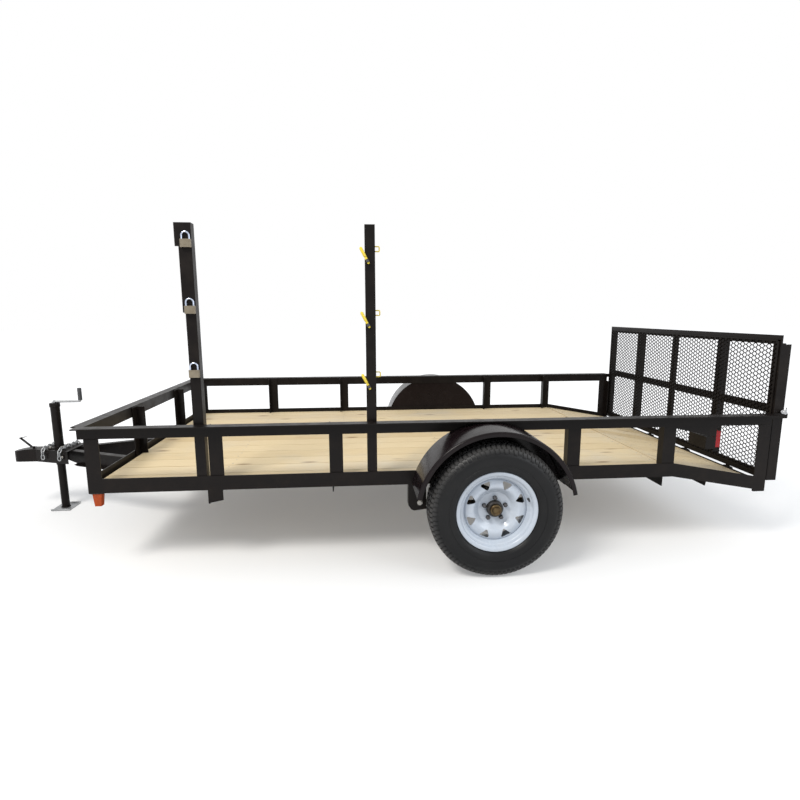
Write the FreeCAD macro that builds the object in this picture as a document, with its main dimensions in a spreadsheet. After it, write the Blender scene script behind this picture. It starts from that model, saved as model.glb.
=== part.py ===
import FreeCAD, Part
import math
import os
import re

# A single-axle utility trailer of angle iron with a plank deck that dips at the tail,
# a mesh ramp gate, an A-frame tongue on a crank jack, and two tool-rack posts.
# +X points to the coupler, +Y to the trailer's left side, +Z up, and the floor is z = 0.

SIZES = {
    # reach of the whole trailer, measured from the axle
    "nose_reach": 3003, "bed_front": 2058,
    # bed frame
    "bed_length": 3670, "bed_width": 1956, "sill_height": 422, "sill_leg": 76, "sill_flange": 51,
    "steel_wall": 6, "rail_height": 347, "rail_leg": 63.5, "rail_flange": 63.5,
    "rail_overhang": 30, "dovetail_length": 555, "dovetail_drop": 100,
    # posts, measured along the bed from its front face
    "post_width": 71, "post_return": 51, "post_one": 642, "post_two": 1256, "post_three": 1898,
    "post_four": 2542, "post_five": 3084, "front_post_offset": 372, "post_top_gap": 8,
    # crossmembers under the deck
    "cross_leg": 51, "cross_deep_leg": 76, "cross_flange": 51, "tail_lip": 7,
    "bend_joist_lead": 20, "tail_joist_leg": 40,
    # deck
    "plank_thickness": 38, "plank_count": 13, "plank_gap": 5, "deck_side_gap": 3,
    "deck_end_gap": 22, "deck_joint_gap": 4,
    # tongue
    "arm_height": 102, "arm_flange": 43, "arm_angle": 25, "arm_start": 2740, "arm_start_half": 62,
    "arm_front": 2684, "arm_taper_length": 120, "arm_taper": 26, "tie_leg": 76, "tie_flange": 76,
    "tie_plate_depth": 70, "tie_plate_bevel": 14,
    # coupler
    "coupler_back": 2600, "coupler_shoulder": 2850, "coupler_height": 84, "coupler_wall": 6,
    "nose_half": 42, "ball_radius": 25.9, "socket_depth": 42, "nose_drop": 22, "lever_width": 22,
    "lever_wall": 6, "lever_rise": 74, "lever_run": 96, "lever_hook": 40, "pivot_radius": 7,
    "coupler_lift": 0.3,
    # jack
    "jack_back": 285, "jack_radius": 28.5, "jack_wall": 3.5, "jack_bottom": 313, "jack_top": 713,
    "leg_radius": 24.6, "leg_wall": 3, "leg_top": 440, "foot_length": 122, "foot_width": 150,
    "foot_wall": 6, "foot_lip": 14, "jack_cap": 24, "jack_cap_radius": 32, "crank_radius": 8,
    "crank_reach": 168, "crank_height": 745.5, "grip_radius": 13, "grip_height": 82,
    "jack_plate": 8, "jack_plate_half": 52, "jack_fit": 0.3,
    # axle and springs
    "axle_height": 344, "axle_radius": 30, "axle_half": 1078, "spindle_radius": 17,
    "spindle_half": 1176, "spring_inset": 28, "spring_width": 44, "leaf_wall": 7, "leaf_count": 4,
    "spring_half": 360, "spring_sag": 16, "eye_radius": 14, "eye_bolt": 8, "leaf_step": 70,
    "seat_wall": 8, "seat_gap": 0.5, "seat_length": 110, "ubolt_radius": 6, "hanger_wall": 6,
    "hanger_drop": 148, "hanger_front": 62, "hanger_back": 34, "hanger_bevel": 30,
    "shackle_height": 62, "shackle_width": 34, "part_gap": 0.3,
    # wheels
    "wheel_half": 1145, "tyre_radius": 344, "tyre_width": 205, "bead_radius": 190,
    "tread_width": 158, "shoulder_drop": 12, "drop_half": 34, "rim_width": 152,
    "rim_flange_radius": 208, "rim_wall": 4, "drop_radius": 166, "disc_wall": 5,
    "disc_offset": 13, "dish_depth": 30, "bore_radius": 42, "dish_radius": 88, "hole_count": 8,
    "hole_inner": 113, "hole_outer": 148, "hole_base": 54, "lug_circle": 114.3, "nut_radius": 11,
    "nut_length": 20, "nut_count": 5, "wheel_sides": 32, "disc_sides": 24, "hub_sides": 16,
    "bar_sides": 16, "eye_sides": 8, "small_sides": 6, "leaf_steps": 5, "ubolt_steps": 4,
    "fender_steps": 18, "link_sides": 4, "hub_radius": 41.5, "hub_face": 1157, "hub_inner": 1084,
    "hub_barrel": 38, "hub_flange": 74, "hub_flange_wall": 12, "hub_nose": 38, "cap_radius": 27,
    "cap_length": 16, "spindle_fit": 0.3,
    # fenders
    "fender_radius": 413, "fender_width": 257, "fender_wall": 3, "fender_lip": 26,
    "fender_foot": 85,
    # ramp gate
    "gate_back": 13, "gate_post_leg": 45, "gate_half": 967, "gate_bottom": 380, "gate_top": 1200,
    "gate_leg": 58, "gate_bar": 50, "gate_tube": 26, "gate_wall": 6, "gate_post": 51,
    "mesh_wall": 3, "mesh_pitch": 112, "mesh_rise": 56, "mesh_strand": 10, "mesh_border": 8,
    "hinge_drop": 20, "hinge_radius": 14, "hinge_pin": 8, "hinge_near": 226, "hinge_far": 653,
    "lug_wall": 10, "knuckle_length": 30, "hinge_fit": 0.5, "hinge_side_gap": 0.4,
    "tab_height": 29, "tab_wall": 6, "latch_radius": 9, "latch_length": 40, "latch_pin": 5,
    "latch_back": 55, "latch_reach": 88, "latch_handle": 34,
    # lamps
    "marker_back": 38, "marker_length": 50, "marker_height": 66, "marker_depth": 34,
    "marker_inset": 4, "marker_plate": 5, "marker_taper": 8, "lamp_station": 3354,
    "lamp_depth": 62, "lamp_width": 104, "lamp_height": 92, "lamp_top": 662, "lamp_inset": 52,
    "lens_share": 0.84, "lamp_base": 58, "lamp_base_height": 69, "bracket_wall": 5,
    "bracket_tip": 12, "bracket_drop": 20,
    # rack posts on the left side
    "rack_width": 51, "rack_wall": 4, "rack_top": 1755, "rack_before": 77, "rack_after": 189,
    "holder_reach": 29, "holder_height": 110, "strip_reach": 12, "strip_height": 315,
    "holder_wall": 8, "rack_pitch": 314, "lock_width": 52, "lock_height": 38, "lock_depth": 20,
    "lock_drop": 78, "shackle_radius": 4, "shackle_reach": 16, "hook_drop": 178, "hook_run": 34,
    "hook_rise": 66, "hook_width": 12, "hook_wall": 5, "hook_stub": 6, "ring_drop": 103,
    "ring_reach": 22, "ring_height": 24, "ring_wire": 3,
    # safety chains
    "chain_wire": 3.5, "chain_width": 12, "chain_play": 1, "chain_seat": 0.6,
    "chain_front_links": 5, "chain_rear_links": 9, "chain_down": 2, "link_steps": 3,
}

# Places worked out from the sizes, in the same words.
PLACES = {
    "tail_reach": "bed_length - bed_front + latch_reach",
    "axle_x": "(tail_reach - nose_reach) / 2",
    "front_x": "axle_x + bed_front",
    "rear_x": "front_x - bed_length",
    "bend_x": "rear_x + dovetail_length",
    "tip_x": "axle_x + nose_reach",
    "side_y": "bed_width / 2",
    "rack_one": "post_one - rack_before",
    "rack_two": "post_two + rack_after",
    "inner_y": "side_y - steel_wall",
    "flange_y": "side_y - sill_flange",
    "sill_z": "sill_height",
    "seat_z": "sill_z + steel_wall",
    "deck_z": "seat_z + plank_thickness",
    "rail_z": "sill_z + rail_height",
    "rail_low_z": "rail_z - rail_leg",
    "tail_z": "sill_z - dovetail_drop",
    "tail_slope": "atan(dovetail_drop / dovetail_length)",
    "arm_z": "sill_z - arm_height",
    "jack_x": "tip_x - jack_back",
    "ball_x": "tip_x - nose_half",
    "tail_deck_x": "rear_x + steel_wall + deck_joint_gap + plank_thickness * sin(tail_slope)",
    "tie_x": "front_x - post_one + cross_flange",
    "spring_y": "side_y - spring_inset",
    "spring_top_z": "axle_height - axle_radius - seat_wall - seat_gap",
    "eye_z": "spring_top_z - leaf_wall / 2 + spring_sag",
    "gate_x": "rear_x - gate_back",
    "hinge_x": "gate_x - gate_wall",
    "hinge_z": "gate_bottom - hinge_drop",
    "rack_y": "inner_y - rack_width",
}

doc = FreeCAD.newDocument("utility_trailer")
sheet = doc.addObject("Spreadsheet::Sheet", "Sizes")
for row, (alias, number) in enumerate(SIZES.items(), start=1):
    sheet.set("A%d" % row, alias)
    sheet.set("B%d" % row, str(number))
    sheet.setAlias("B%d" % row, alias)
doc.recompute()

NODES = []


def formula(text):
    """A formula in the words above, as the sheet reads it."""
    def swap(match):
        word = match.group(0)
        if word in PLACES:
            return "(" + formula(PLACES[word]) + ")"
        return "Sizes." + word if word in SIZES else word
    return re.sub(r"[a-z_][a-z_0-9]*", swap, str(text))


def value(text):
    """The number that a formula gives."""
    result = sheet.evalExpression(formula(text))
    return float(getattr(result, "Value", result))


def bind(thing, prop, text):
    """Ties a property to a formula."""
    thing.setExpression(prop, formula(text))


def place(thing, x, y, z):
    for name, text in (("x", x), ("y", y), ("z", z)):
        bind(thing, "Placement.Base." + name, text)


def turn(thing, axis, angle):
    """Turns a piece about an axis by an angle in degrees."""
    thing.Placement.Rotation = FreeCAD.Rotation(FreeCAD.Vector(*axis), 1)
    bind(thing, "Placement.Rotation.Angle", angle)


def node(thing, label):
    """Marks a finished sub-part and gives it its name."""
    thing.Label = label
    NODES.append(thing)
    return thing


def box(label, x, y, z, length, width, height):
    thing = doc.addObject("Part::Box", label)
    for prop, text in (("Length", length), ("Width", width), ("Height", height)):
        bind(thing, prop, text)
    place(thing, x, y, z)
    return thing


AXES = {"x": ((0, 1, 0), 90), "y": ((1, 0, 0), -90), "z": ((0, 0, 1), 0)}


def bar(label, axis, x, y, z, radius, length, sides="bar_sides"):
    """A straight bar of equal flat sides that starts at a point and runs along an axis."""
    thing = doc.addObject("Part::Prism", label)
    bind(thing, "Polygon", sides)
    bind(thing, "Circumradius", radius)
    bind(thing, "Height", length)
    about, angle = AXES[axis]
    thing.Placement.Rotation = FreeCAD.Rotation(FreeCAD.Vector(*about), angle)
    place(thing, x, y, z)
    return thing


def cut(label, base, tool):
    thing = doc.addObject("Part::Cut", label)
    thing.Base = base
    thing.Tool = tool
    return thing


def fuse(label, pieces):
    thing = doc.addObject("Part::MultiFuse", label)
    thing.Shapes = pieces
    return thing


def group(label, pieces):
    thing = doc.addObject("Part::Compound", label)
    thing.Links = pieces
    return thing


def mirrored(label, source):
    """The same piece on the trailer's other side."""
    thing = doc.addObject("Part::Mirroring", label)
    thing.Source = source
    thing.Normal = FreeCAD.Vector(0, 1, 0)
    return thing


def scripted(label, shape):
    thing = doc.addObject("Part::Feature", label)
    thing.Shape = shape
    return thing


PLANES = {"xy": "XY_Plane", "xz": "XZ_Plane", "yz": "YZ_Plane"}


def sketch_in(body, plane, outline, label):
    """A closed outline of straight sides, each corner tied to its formulas."""
    sketch = body.newObject("Sketcher::SketchObject", label)
    origin = [f for f in body.Origin.OriginFeatures if f.Role == PLANES[plane]][0]
    sketch.AttachmentSupport = [(origin, "")]
    sketch.MapMode = "FlatFace"
    corners = [FreeCAD.Vector(value(u), value(v), 0) for u, v in outline]
    count = len(corners)
    for i in range(count):
        sketch.addGeometry(Part.LineSegment(corners[i], corners[(i + 1) % count]), False)
    import Sketcher
    for i in range(count):
        sketch.addConstraint(Sketcher.Constraint("Coincident", i, 2, (i + 1) % count, 1))
    for i, (u, v) in enumerate(outline):
        for kind, text, axis in (("DistanceX", u, -2), ("DistanceY", v, -1)):
            if str(text) == "0":
                sketch.addConstraint(Sketcher.Constraint("PointOnObject", i, 1, axis))
                continue
            index = sketch.addConstraint(Sketcher.Constraint(kind, -1, 1, i, 1, value(text)))
            bind(sketch, "Constraints[%d]" % index, text)
    return sketch


def body_of(label):
    body = doc.addObject("PartDesign::Body", label)
    body.AllowCompound = True
    return body


def pad(body, plane, outline, depth):
    """Pads an outline towards the positive side of its plane."""
    sketch = sketch_in(body, plane, outline, body.Name + "_outline")
    feature = body.newObject("PartDesign::Pad", body.Name + "_pad")
    feature.Profile = sketch
    bind(feature, "Length", depth)
    feature.Reversed = plane == "xz"
    return feature


def profile(label, plane, outline, depth, x, y, z):
    """A bar or plate: one outline, padded and put in its place."""
    body = body_of(label)
    pad(body, plane, outline, depth)
    place(body, x, y, z)
    return body


def angle_outline(across, up, wall, heel):
    """The six corners of an angle iron; heel says where its two legs meet."""
    side, level = heel.split()
    us = {"left": ("0", wall, across), "right": (across, across + " - " + wall, "0")}[side]
    vs = {"low": ("0", wall, up), "high": (up, up + " - " + wall, "0")}[level]
    return [(us[0], vs[0]), (us[2], vs[0]), (us[2], vs[1]), (us[1], vs[1]), (us[1], vs[2]), (us[0], vs[2])]


# Bed frame

def side_sill():
    """Bottom rail with its dip: an upright leg outside and a flange under the planks."""
    body = body_of("sill")
    flat = "bed_length - dovetail_length - post_width"
    run = "dovetail_length - post_width"
    drop = "dovetail_drop * (dovetail_length - post_width) / dovetail_length"

    def strip(height):
        return [("0", "0"), (run, drop), (run + " + " + flat, drop),
                (run + " + " + flat, drop + " + " + height), (run, drop + " + " + height), ("0", height)]
    flange = pad(body, "xz", strip("steel_wall"), "sill_flange")
    leg = pad(body, "xz", strip("sill_leg"), "steel_wall")
    # the flange lies inboard of the leg, so it is padded the other way
    flange.Reversed = False
    leg.Reversed = False
    place(body, "rear_x + post_width", "side_y", "sill_z - " + drop)
    return body


def bed_frame():
    left = node(side_sill(), "side_sill_left")
    node(mirrored("sill_right", left), "side_sill_right")
    rail = profile("rail", "yz", angle_outline("rail_flange", "rail_leg", "steel_wall", "left high"),
                   "bed_length + rail_overhang", "rear_x", "inner_y", "rail_low_z")
    node(rail, "top_rail_left")
    node(mirrored("rail_right", rail), "top_rail_right")
    front = profile("rail_front", "xz", angle_outline("rail_flange", "rail_leg", "steel_wall", "left high"),
                    "2 * inner_y", "front_x - steel_wall", "-inner_y", "rail_low_z")
    node(front, "top_rail_front")
    low = profile("front_beam", "xz", angle_outline("sill_flange", "sill_leg", "steel_wall", "right low"),
                  "2 * flange_y", "front_x - sill_flange", "-flange_y", "sill_z")
    node(low, "front_crossmember")
    tail = profile("rear_beam", "xz",
                   angle_outline("cross_flange", "steel_wall + plank_thickness + tail_lip",
                                 "steel_wall", "left low"),
                   "2 * flange_y", "rear_x", "-flange_y", "tail_z")
    node(tail, "rear_crossmember")


POST_STATIONS = ["post_one", "post_two", "post_three", "post_four", "post_five"]


def side_posts():
    """The two corner posts and the uprights between them, inside the rails."""
    pieces = []
    front = profile("corner_front", "xy",
                    angle_outline("post_width", "post_return", "steel_wall", "right high"),
                    "rail_low_z - sill_z", "front_x - post_width", "side_y - post_return", "sill_z")
    rear = profile("corner_rear", "xy",
                   angle_outline("post_width", "post_return", "steel_wall", "left high"),
                   "rail_low_z - tail_z", "rear_x", "side_y - post_return", "tail_z")
    pieces += [front, rear]
    for station in POST_STATIONS:
        if station == "post_three":
            continue        # the fender's apron stands there
        pieces.append(profile("upright", "xy",
                              angle_outline("post_width", "post_return", "steel_wall", "right high"),
                              "rail_z - post_top_gap - deck_z",
                              "front_x - %s - post_width / 2" % station, "inner_y - post_return", "deck_z"))
    return pieces


def uprights():
    left = node(group("posts_left", side_posts()), "uprights_left")
    node(mirrored("posts_right", left), "uprights_right")
    pieces = []
    for side in ("+", "-"):
        pieces.append(profile("front_upright", "xy",
                              angle_outline("post_return", "post_width", "steel_wall", "right low"),
                              "rail_z - post_top_gap - deck_z",
                              "front_x - steel_wall - post_return",
                              "%s front_post_offset - post_width / 2" % side, "deck_z"))
    node(group("posts_front", pieces), "uprights_front")


def crossmembers():
    """Joists under the planks, the last two on the slope of the tail."""
    pieces = []
    for station in POST_STATIONS[1:]:
        bend = station == "post_five"
        leg = "cross_deep_leg" if bend else "cross_leg"
        start = "front_x - %s - cross_flange / 2" % station
        if bend:
            start += " + bend_joist_lead"
        heel = "left high" if bend else "right high"
        pieces.append(profile("joist", "xz", angle_outline("cross_flange", leg, "steel_wall", heel),
                              "2 * flange_y", start, "-flange_y", "seat_z - " + leg))
    slope = profile("tail_joist", "xz",
                    angle_outline("cross_flange", "tail_joist_leg", "steel_wall", "right high"),
                    "2 * flange_y", "(rear_x + bend_x) / 2", "-flange_y",
                    "seat_z - dovetail_drop / 2 - tail_joist_leg / cos(tail_slope)")
    turn(slope, (0, -1, 0), "tail_slope")
    pieces.append(slope)
    node(group("joists", pieces), "deck_crossmembers")


def planks():
    """Boards along the bed, side by side, flat ahead of the bend and sloping behind it."""
    width = "(2 * (inner_y - deck_side_gap) - (plank_count - 1) * plank_gap) / plank_count"
    for label, length, x, z in (
            ("deck_planks_main",
             "bed_length - dovetail_length - deck_end_gap - steel_wall - deck_joint_gap",
             "bend_x + deck_joint_gap", "seat_z"),
            ("deck_planks_tail", "(bend_x - deck_joint_gap - tail_deck_x) / cos(tail_slope)", "tail_deck_x",
             "tail_z + steel_wall + (tail_deck_x - rear_x) * tan(tail_slope)")):
        body = body_of(label + "_body")
        board = pad(body, "xy", [("0", "0"), (length, "0"), (length, width), ("0", width)],
                    "plank_thickness")
        pattern = body.newObject("PartDesign::LinearPattern", label + "_pattern")
        pattern.Originals = [board]
        axis = [f for f in body.Origin.OriginFeatures if f.Role == "Y_Axis"][0]
        pattern.Direction = (axis, [""])
        bind(pattern, "Length", "(plank_count - 1) * (%s + plank_gap)" % width)
        bind(pattern, "Occurrences", "plank_count")
        body.Tip = pattern
        place(body, x, "deck_side_gap - inner_y", z)
        if label == "deck_planks_tail":
            turn(body, (0, -1, 0), "tail_slope")
        node(body, label)


# Tongue

def tongue():
    """Two channels that meet at the coupler, tied under the first joist."""
    reach = "(arm_start - bed_front + post_one) / cos(arm_angle) + arm_flange"
    body = body_of("arm")
    channel = [("0", "0"), ("arm_flange", "0"), ("arm_flange", "arm_height"), ("0", "arm_height"),
               ("0", "arm_height - steel_wall"), ("arm_flange - steel_wall", "arm_height - steel_wall"),
               ("arm_flange - steel_wall", "steel_wall"), ("0", "steel_wall")]
    pad(body, "yz", channel, reach)
    body.Placement.Rotation = FreeCAD.Rotation(FreeCAD.Vector(0, 0, 1), 1)
    bind(body, "Placement.Rotation.Angle", "180 - arm_angle")
    # turned about, the channel's web faces outwards and its open side inwards
    place(body, "axle_x + arm_start", "arm_start_half - arm_flange / cos(arm_angle)", "arm_z")
    keep = box("arm_span", "tie_x", "0", "arm_z", "axle_x + arm_front - tie_x", "side_y", "arm_height")
    arm = doc.addObject("Part::Common", "arm_cut")
    arm.Base = body
    arm.Tool = keep
    wedge = profile("arm_wedge", "xz",
                    [("0", "0"), ("arm_taper_length", "arm_taper"), ("2 * arm_taper_length", "arm_taper"),
                     ("2 * arm_taper_length", "0")], "side_y",
                    "axle_x + arm_front - arm_taper_length", "0", "arm_z")
    left = node(cut("arm_left", arm, wedge), "tongue_arm_left")
    node(mirrored("arm_right", left), "tongue_arm_right")
    tie = profile("tie_bar", "xz", angle_outline("tie_flange", "tie_leg", "steel_wall", "right high"),
                  "2 * inner_y", "tie_x - tie_flange", "-inner_y", "sill_z - tie_leg")
    ends = [profile("tie_end", "xz",
                    [("0", "tie_plate_bevel"), ("tie_flange", "0"), ("tie_flange", "tie_plate_depth"),
                     ("0", "tie_plate_depth")], "steel_wall", "tie_x - tie_flange", start,
                    "sill_z - tie_plate_depth") for start in ("inner_y", "-side_y")]
    pad_bar = box("tie_pad", "tie_x - tie_flange", "-flange_y", "sill_z",
                  "tie_flange", "2 * flange_y", "steel_wall")
    node(fuse("tie", [tie, pad_bar] + ends), "tongue_crossbar")


def plan_plate(points, bottom, top):
    """An upright prism over a plan outline."""
    wire = Part.makePolygon([FreeCAD.Vector(x, y, bottom) for x, y in points + points[:1]])
    return Part.Face(wire).extrude(FreeCAD.Vector(0, 0, top - bottom))


def coupler_half():
    """Half the coupler's width at the back of its wings."""
    slope = math.tan(math.radians(value("arm_angle")))
    return value("arm_start_half + coupler_lift + coupler_wall") + slope * value("arm_start - coupler_back")


def coupler():
    """Pressed coupler: a round nose over the ball, widening into two wings along the arms."""
    wall = value("coupler_wall")
    nose = value("nose_half")
    top = value("sill_z + coupler_lift + coupler_wall")
    low = top - value("coupler_height")
    ball = value("ball_x")
    back = value("axle_x + coupler_back")
    shoulder = value("axle_x + coupler_shoulder")
    wide = coupler_half()

    def outline(inset):
        half = nose - inset
        return [(back, -wide + inset), (shoulder, -half), (ball, -half), (ball, half), (shoulder, half),
                (back, wide - inset)]
    outer = plan_plate(outline(0), low, top)
    outer = outer.fuse(prism(FreeCAD.Vector(ball, 0, low), (0, 0, 1), nose, top - low,
                             int(value("bar_sides"))))
    inner = plan_plate(outline(wall), low, top - wall)
    inner = inner.cut(Part.makeBox(3 * nose, 2 * nose, top - low,
                                   FreeCAD.Vector(ball - nose, -nose, low)))
    # the nose stays thick round the ball, and its top falls towards the tip
    tip = value("tip_x")
    wedge_start = ball - nose
    wedge = Part.Face(Part.makePolygon([FreeCAD.Vector(wedge_start, -wide, top),
                                        FreeCAD.Vector(tip + nose, -wide, top),
                                        FreeCAD.Vector(tip + nose, -wide, top - value("nose_drop")),
                                        FreeCAD.Vector(wedge_start, -wide, top)]))
    shell = outer.cut(inner).cut(wedge.extrude(FreeCAD.Vector(0, 2 * wide, 0)))
    radius = value("ball_radius")
    shell = shell.cut(Part.makeCylinder(radius, value("socket_depth"), FreeCAD.Vector(ball, 0, low)))
    hole = prism(FreeCAD.Vector(value("jack_x"), 0, low), (0, 0, 1),
                 value("jack_radius + 2 * jack_fit"), top - low, int(value("bar_sides")))
    node(scripted("coupler_shell", shell.cut(hole).removeSplitter()), "coupler")


def bent_strip(points, wall, start, width):
    """A flat strip bent along points in the XZ plane, width measured along +Y."""
    offset = Part.makePolygon([FreeCAD.Vector(x, start, z) for x, z in points])
    edge = offset.makeOffset2D(wall / 2, fill=True, openResult=True, join=2)
    return edge.extrude(FreeCAD.Vector(0, width, 0))


def coupler_latch():
    top = value("sill_z + coupler_lift + coupler_wall")
    base = value("ball_x - nose_half - lever_run / 2")
    run, rise, hook = value("lever_run"), value("lever_rise"), value("lever_hook")
    wall, width = value("lever_wall"), value("lever_width")
    points = [(base, top + wall), (base + run / 4, top + wall), (base + run, top + rise),
              (base + run - hook, top + rise + wall)]
    strip = bent_strip(points, wall, -width / 2, width)
    pivot = prism(FreeCAD.Vector(base + run / 8, 0, top), (0, 0, 1), value("pivot_radius"), 2 * wall, 8)
    node(scripted("latch_lever", strip.fuse(pivot)), "coupler_latch")


# Jack

def jack():
    tube = cut("jack_bore",
               bar("jack_outer", "z", "jack_x", "0", "jack_bottom", "jack_radius",
                   "jack_top - jack_bottom"),
               bar("jack_hollow", "z", "jack_x", "0", "jack_bottom", "jack_radius - jack_wall",
                   "jack_top - jack_bottom"))
    cap = bar("jack_head", "z", "jack_x", "0", "jack_top", "jack_cap_radius", "jack_cap")
    seat = "sill_z + coupler_lift + coupler_wall"
    plate = cut("jack_collar",
                box("jack_flange", "jack_x - jack_plate_half", "-jack_plate_half", seat,
                    "2 * jack_plate_half", "2 * jack_plate_half", "jack_plate"),
                bar("jack_collar_hole", "z", "jack_x", "0", seat, "jack_radius - jack_wall / 2",
                    "jack_plate"))
    node(fuse("jack_body", [tube, cap, plate]), "jack_tube")
    hub = bar("crank_hub", "z", "jack_x", "0", "jack_top + jack_cap", "crank_radius",
              "crank_height - jack_top - jack_cap", "small_sides")
    arm = bar("crank_arm", "x", "jack_x - crank_reach", "0", "crank_height", "crank_radius",
              "crank_reach + crank_radius", "small_sides")
    node(fuse("crank", [hub, arm]), "jack_crank")
    node(bar("crank_grip", "z", "jack_x - crank_reach", "0", "crank_height + crank_radius", "grip_radius",
             "grip_height", "eye_sides"), "jack_grip")
    leg = cut("leg_tube",
              bar("leg_outer", "z", "jack_x", "0", "foot_wall", "leg_radius", "leg_top - foot_wall"),
              bar("leg_hollow", "z", "jack_x", "0", "foot_wall", "leg_radius - leg_wall",
                  "leg_top - foot_wall"))
    foot = box("foot_plate", "jack_x - foot_length / 2", "-foot_width / 2", "0",
               "foot_length", "foot_width", "foot_wall")
    lips = [box("foot_lip", "jack_x - foot_length / 2", start, "0", "foot_length", "foot_wall", "foot_lip")
            for start in ("-foot_width / 2", "foot_width / 2 - foot_wall")]
    node(fuse("leg", [leg, foot] + lips), "jack_leg")


# Axle and springs

def axle():
    tube = bar("axle_tube", "y", "axle_x", "-axle_half", "axle_height", "axle_radius", "2 * axle_half")
    spindle = bar("spindle", "y", "axle_x", "-spindle_half", "axle_height", "spindle_radius",
                  "2 * spindle_half")
    node(fuse("axle", [tube, spindle]), "axle_beam")


def leaf(reach, level, wall, eyes):
    """One leaf, cut from the spring's curve at its own length, with rolled eyes on the main leaf."""
    x, y = value("axle_x"), value("spring_y - spring_width / 2")
    half, sag = value("spring_half"), value("spring_sag")
    steps = int(value("leaf_steps"))

    def rise(run):
        share = abs(run) / half * steps
        low = min(int(share), steps - 1)
        return sag * (low ** 2 + (share - low) * (2 * low + 1)) / steps ** 2
    knots = [half * i / steps for i in range(steps) if half * i / steps < reach] + [reach]
    runs = [-knot for knot in reversed(knots[1:])] + knots
    upper = [FreeCAD.Vector(x + run, y, level + rise(run)) for run in runs]
    lower = [point - FreeCAD.Vector(0, 0, wall) for point in reversed(upper)]
    across = FreeCAD.Vector(0, value("spring_width"), 0)
    strip = Part.Face(Part.makePolygon(upper + lower + upper[:1])).extrude(across)
    if not eyes:
        return strip
    radius, bolt = value("eye_radius"), value("eye_bolt")
    sides = int(value("eye_sides"))
    for sign in (-1, 1):
        centre = FreeCAD.Vector(x + sign * half, y, level + sag - wall / 2)
        strip = strip.fuse(prism(centre, (0, 1, 0), radius, across.y, sides))
        strip = strip.cut(prism(centre, (0, 1, 0), bolt, across.y, sides))
    return strip


def spring_pack():
    wall = value("leaf_wall")
    half = value("spring_half")
    top = value("spring_top_z")
    leaves = [leaf(half, top, wall, True)]
    for i in range(1, int(value("leaf_count"))):
        short = half - i * value("leaf_step") - value("eye_radius")
        leaves.append(leaf(short, top - i * wall, wall, False))
    return leaves[0].multiFuse(leaves[1:]).removeSplitter()


def hanger_plates():
    """Front hanger: two bevelled ears under the sill, joined by a web, with the eye bolt across."""
    y = value("spring_y")
    inner = value("spring_width / 2 + part_gap")
    wall = value("hanger_wall")
    eye_x, eye_z = value("axle_x + spring_half"), value("eye_z")
    low, high = value("sill_z - hanger_drop"), value("sill_z")
    sides = int(value("eye_sides"))
    front, back, bevel = eye_x + value("hanger_front"), eye_x - value("hanger_back"), value("hanger_bevel")
    ear = [(back, high), (front, high), (front, low + bevel), (front - bevel / 2, low + bevel / 4),
           (front - bevel, low), (back, low + bevel / 4)]

    def plate(start, thick, points):
        wire = Part.makePolygon([FreeCAD.Vector(px, start, pz) for px, pz in points + points[:1]])
        return Part.Face(wire).extrude(FreeCAD.Vector(0, thick, 0))
    pieces = [plate(y + inner, wall, ear), plate(y - inner - wall, wall, ear)]
    pieces.append(plate(y - inner - wall, 2 * (inner + wall),
                        [(front - wall, high), (front, high), (front, low + bevel),
                         (front - wall, low + bevel)]))
    bolt = prism(FreeCAD.Vector(eye_x, y - inner - 2 * wall, eye_z), (0, 1, 0),
                 value("eye_bolt - part_gap"), 2 * (inner + 2 * wall), sides)
    front_hanger = pieces[0].multiFuse(pieces[1:] + [bolt]).removeSplitter()
    # rear: a short bracket, two shackle links and their two bolts
    rear_x = value("axle_x - spring_half")
    pin_z = eye_z + value("shackle_height")
    half = value("shackle_width") / 2
    bracket = [(rear_x - half, high), (rear_x + half, high), (rear_x + half, pin_z - half / 2),
               (rear_x - half, pin_z - half / 2)]
    link = [(rear_x - half, pin_z + half), (rear_x + half, pin_z + half), (rear_x + half, eye_z - half),
            (rear_x - half, eye_z - half)]
    rear = [plate(y - inner, 2 * inner, bracket), plate(y + inner, wall, link),
            plate(y - inner - wall, wall, link)]
    for z in (eye_z, pin_z):
        rear.append(prism(FreeCAD.Vector(rear_x, y - inner - 2 * wall, z), (0, 1, 0),
                          value("eye_bolt - part_gap"), 2 * (inner + 2 * wall), sides))
    return Part.Compound([front_hanger, rear[0].multiFuse(rear[1:]).removeSplitter()])


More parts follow.
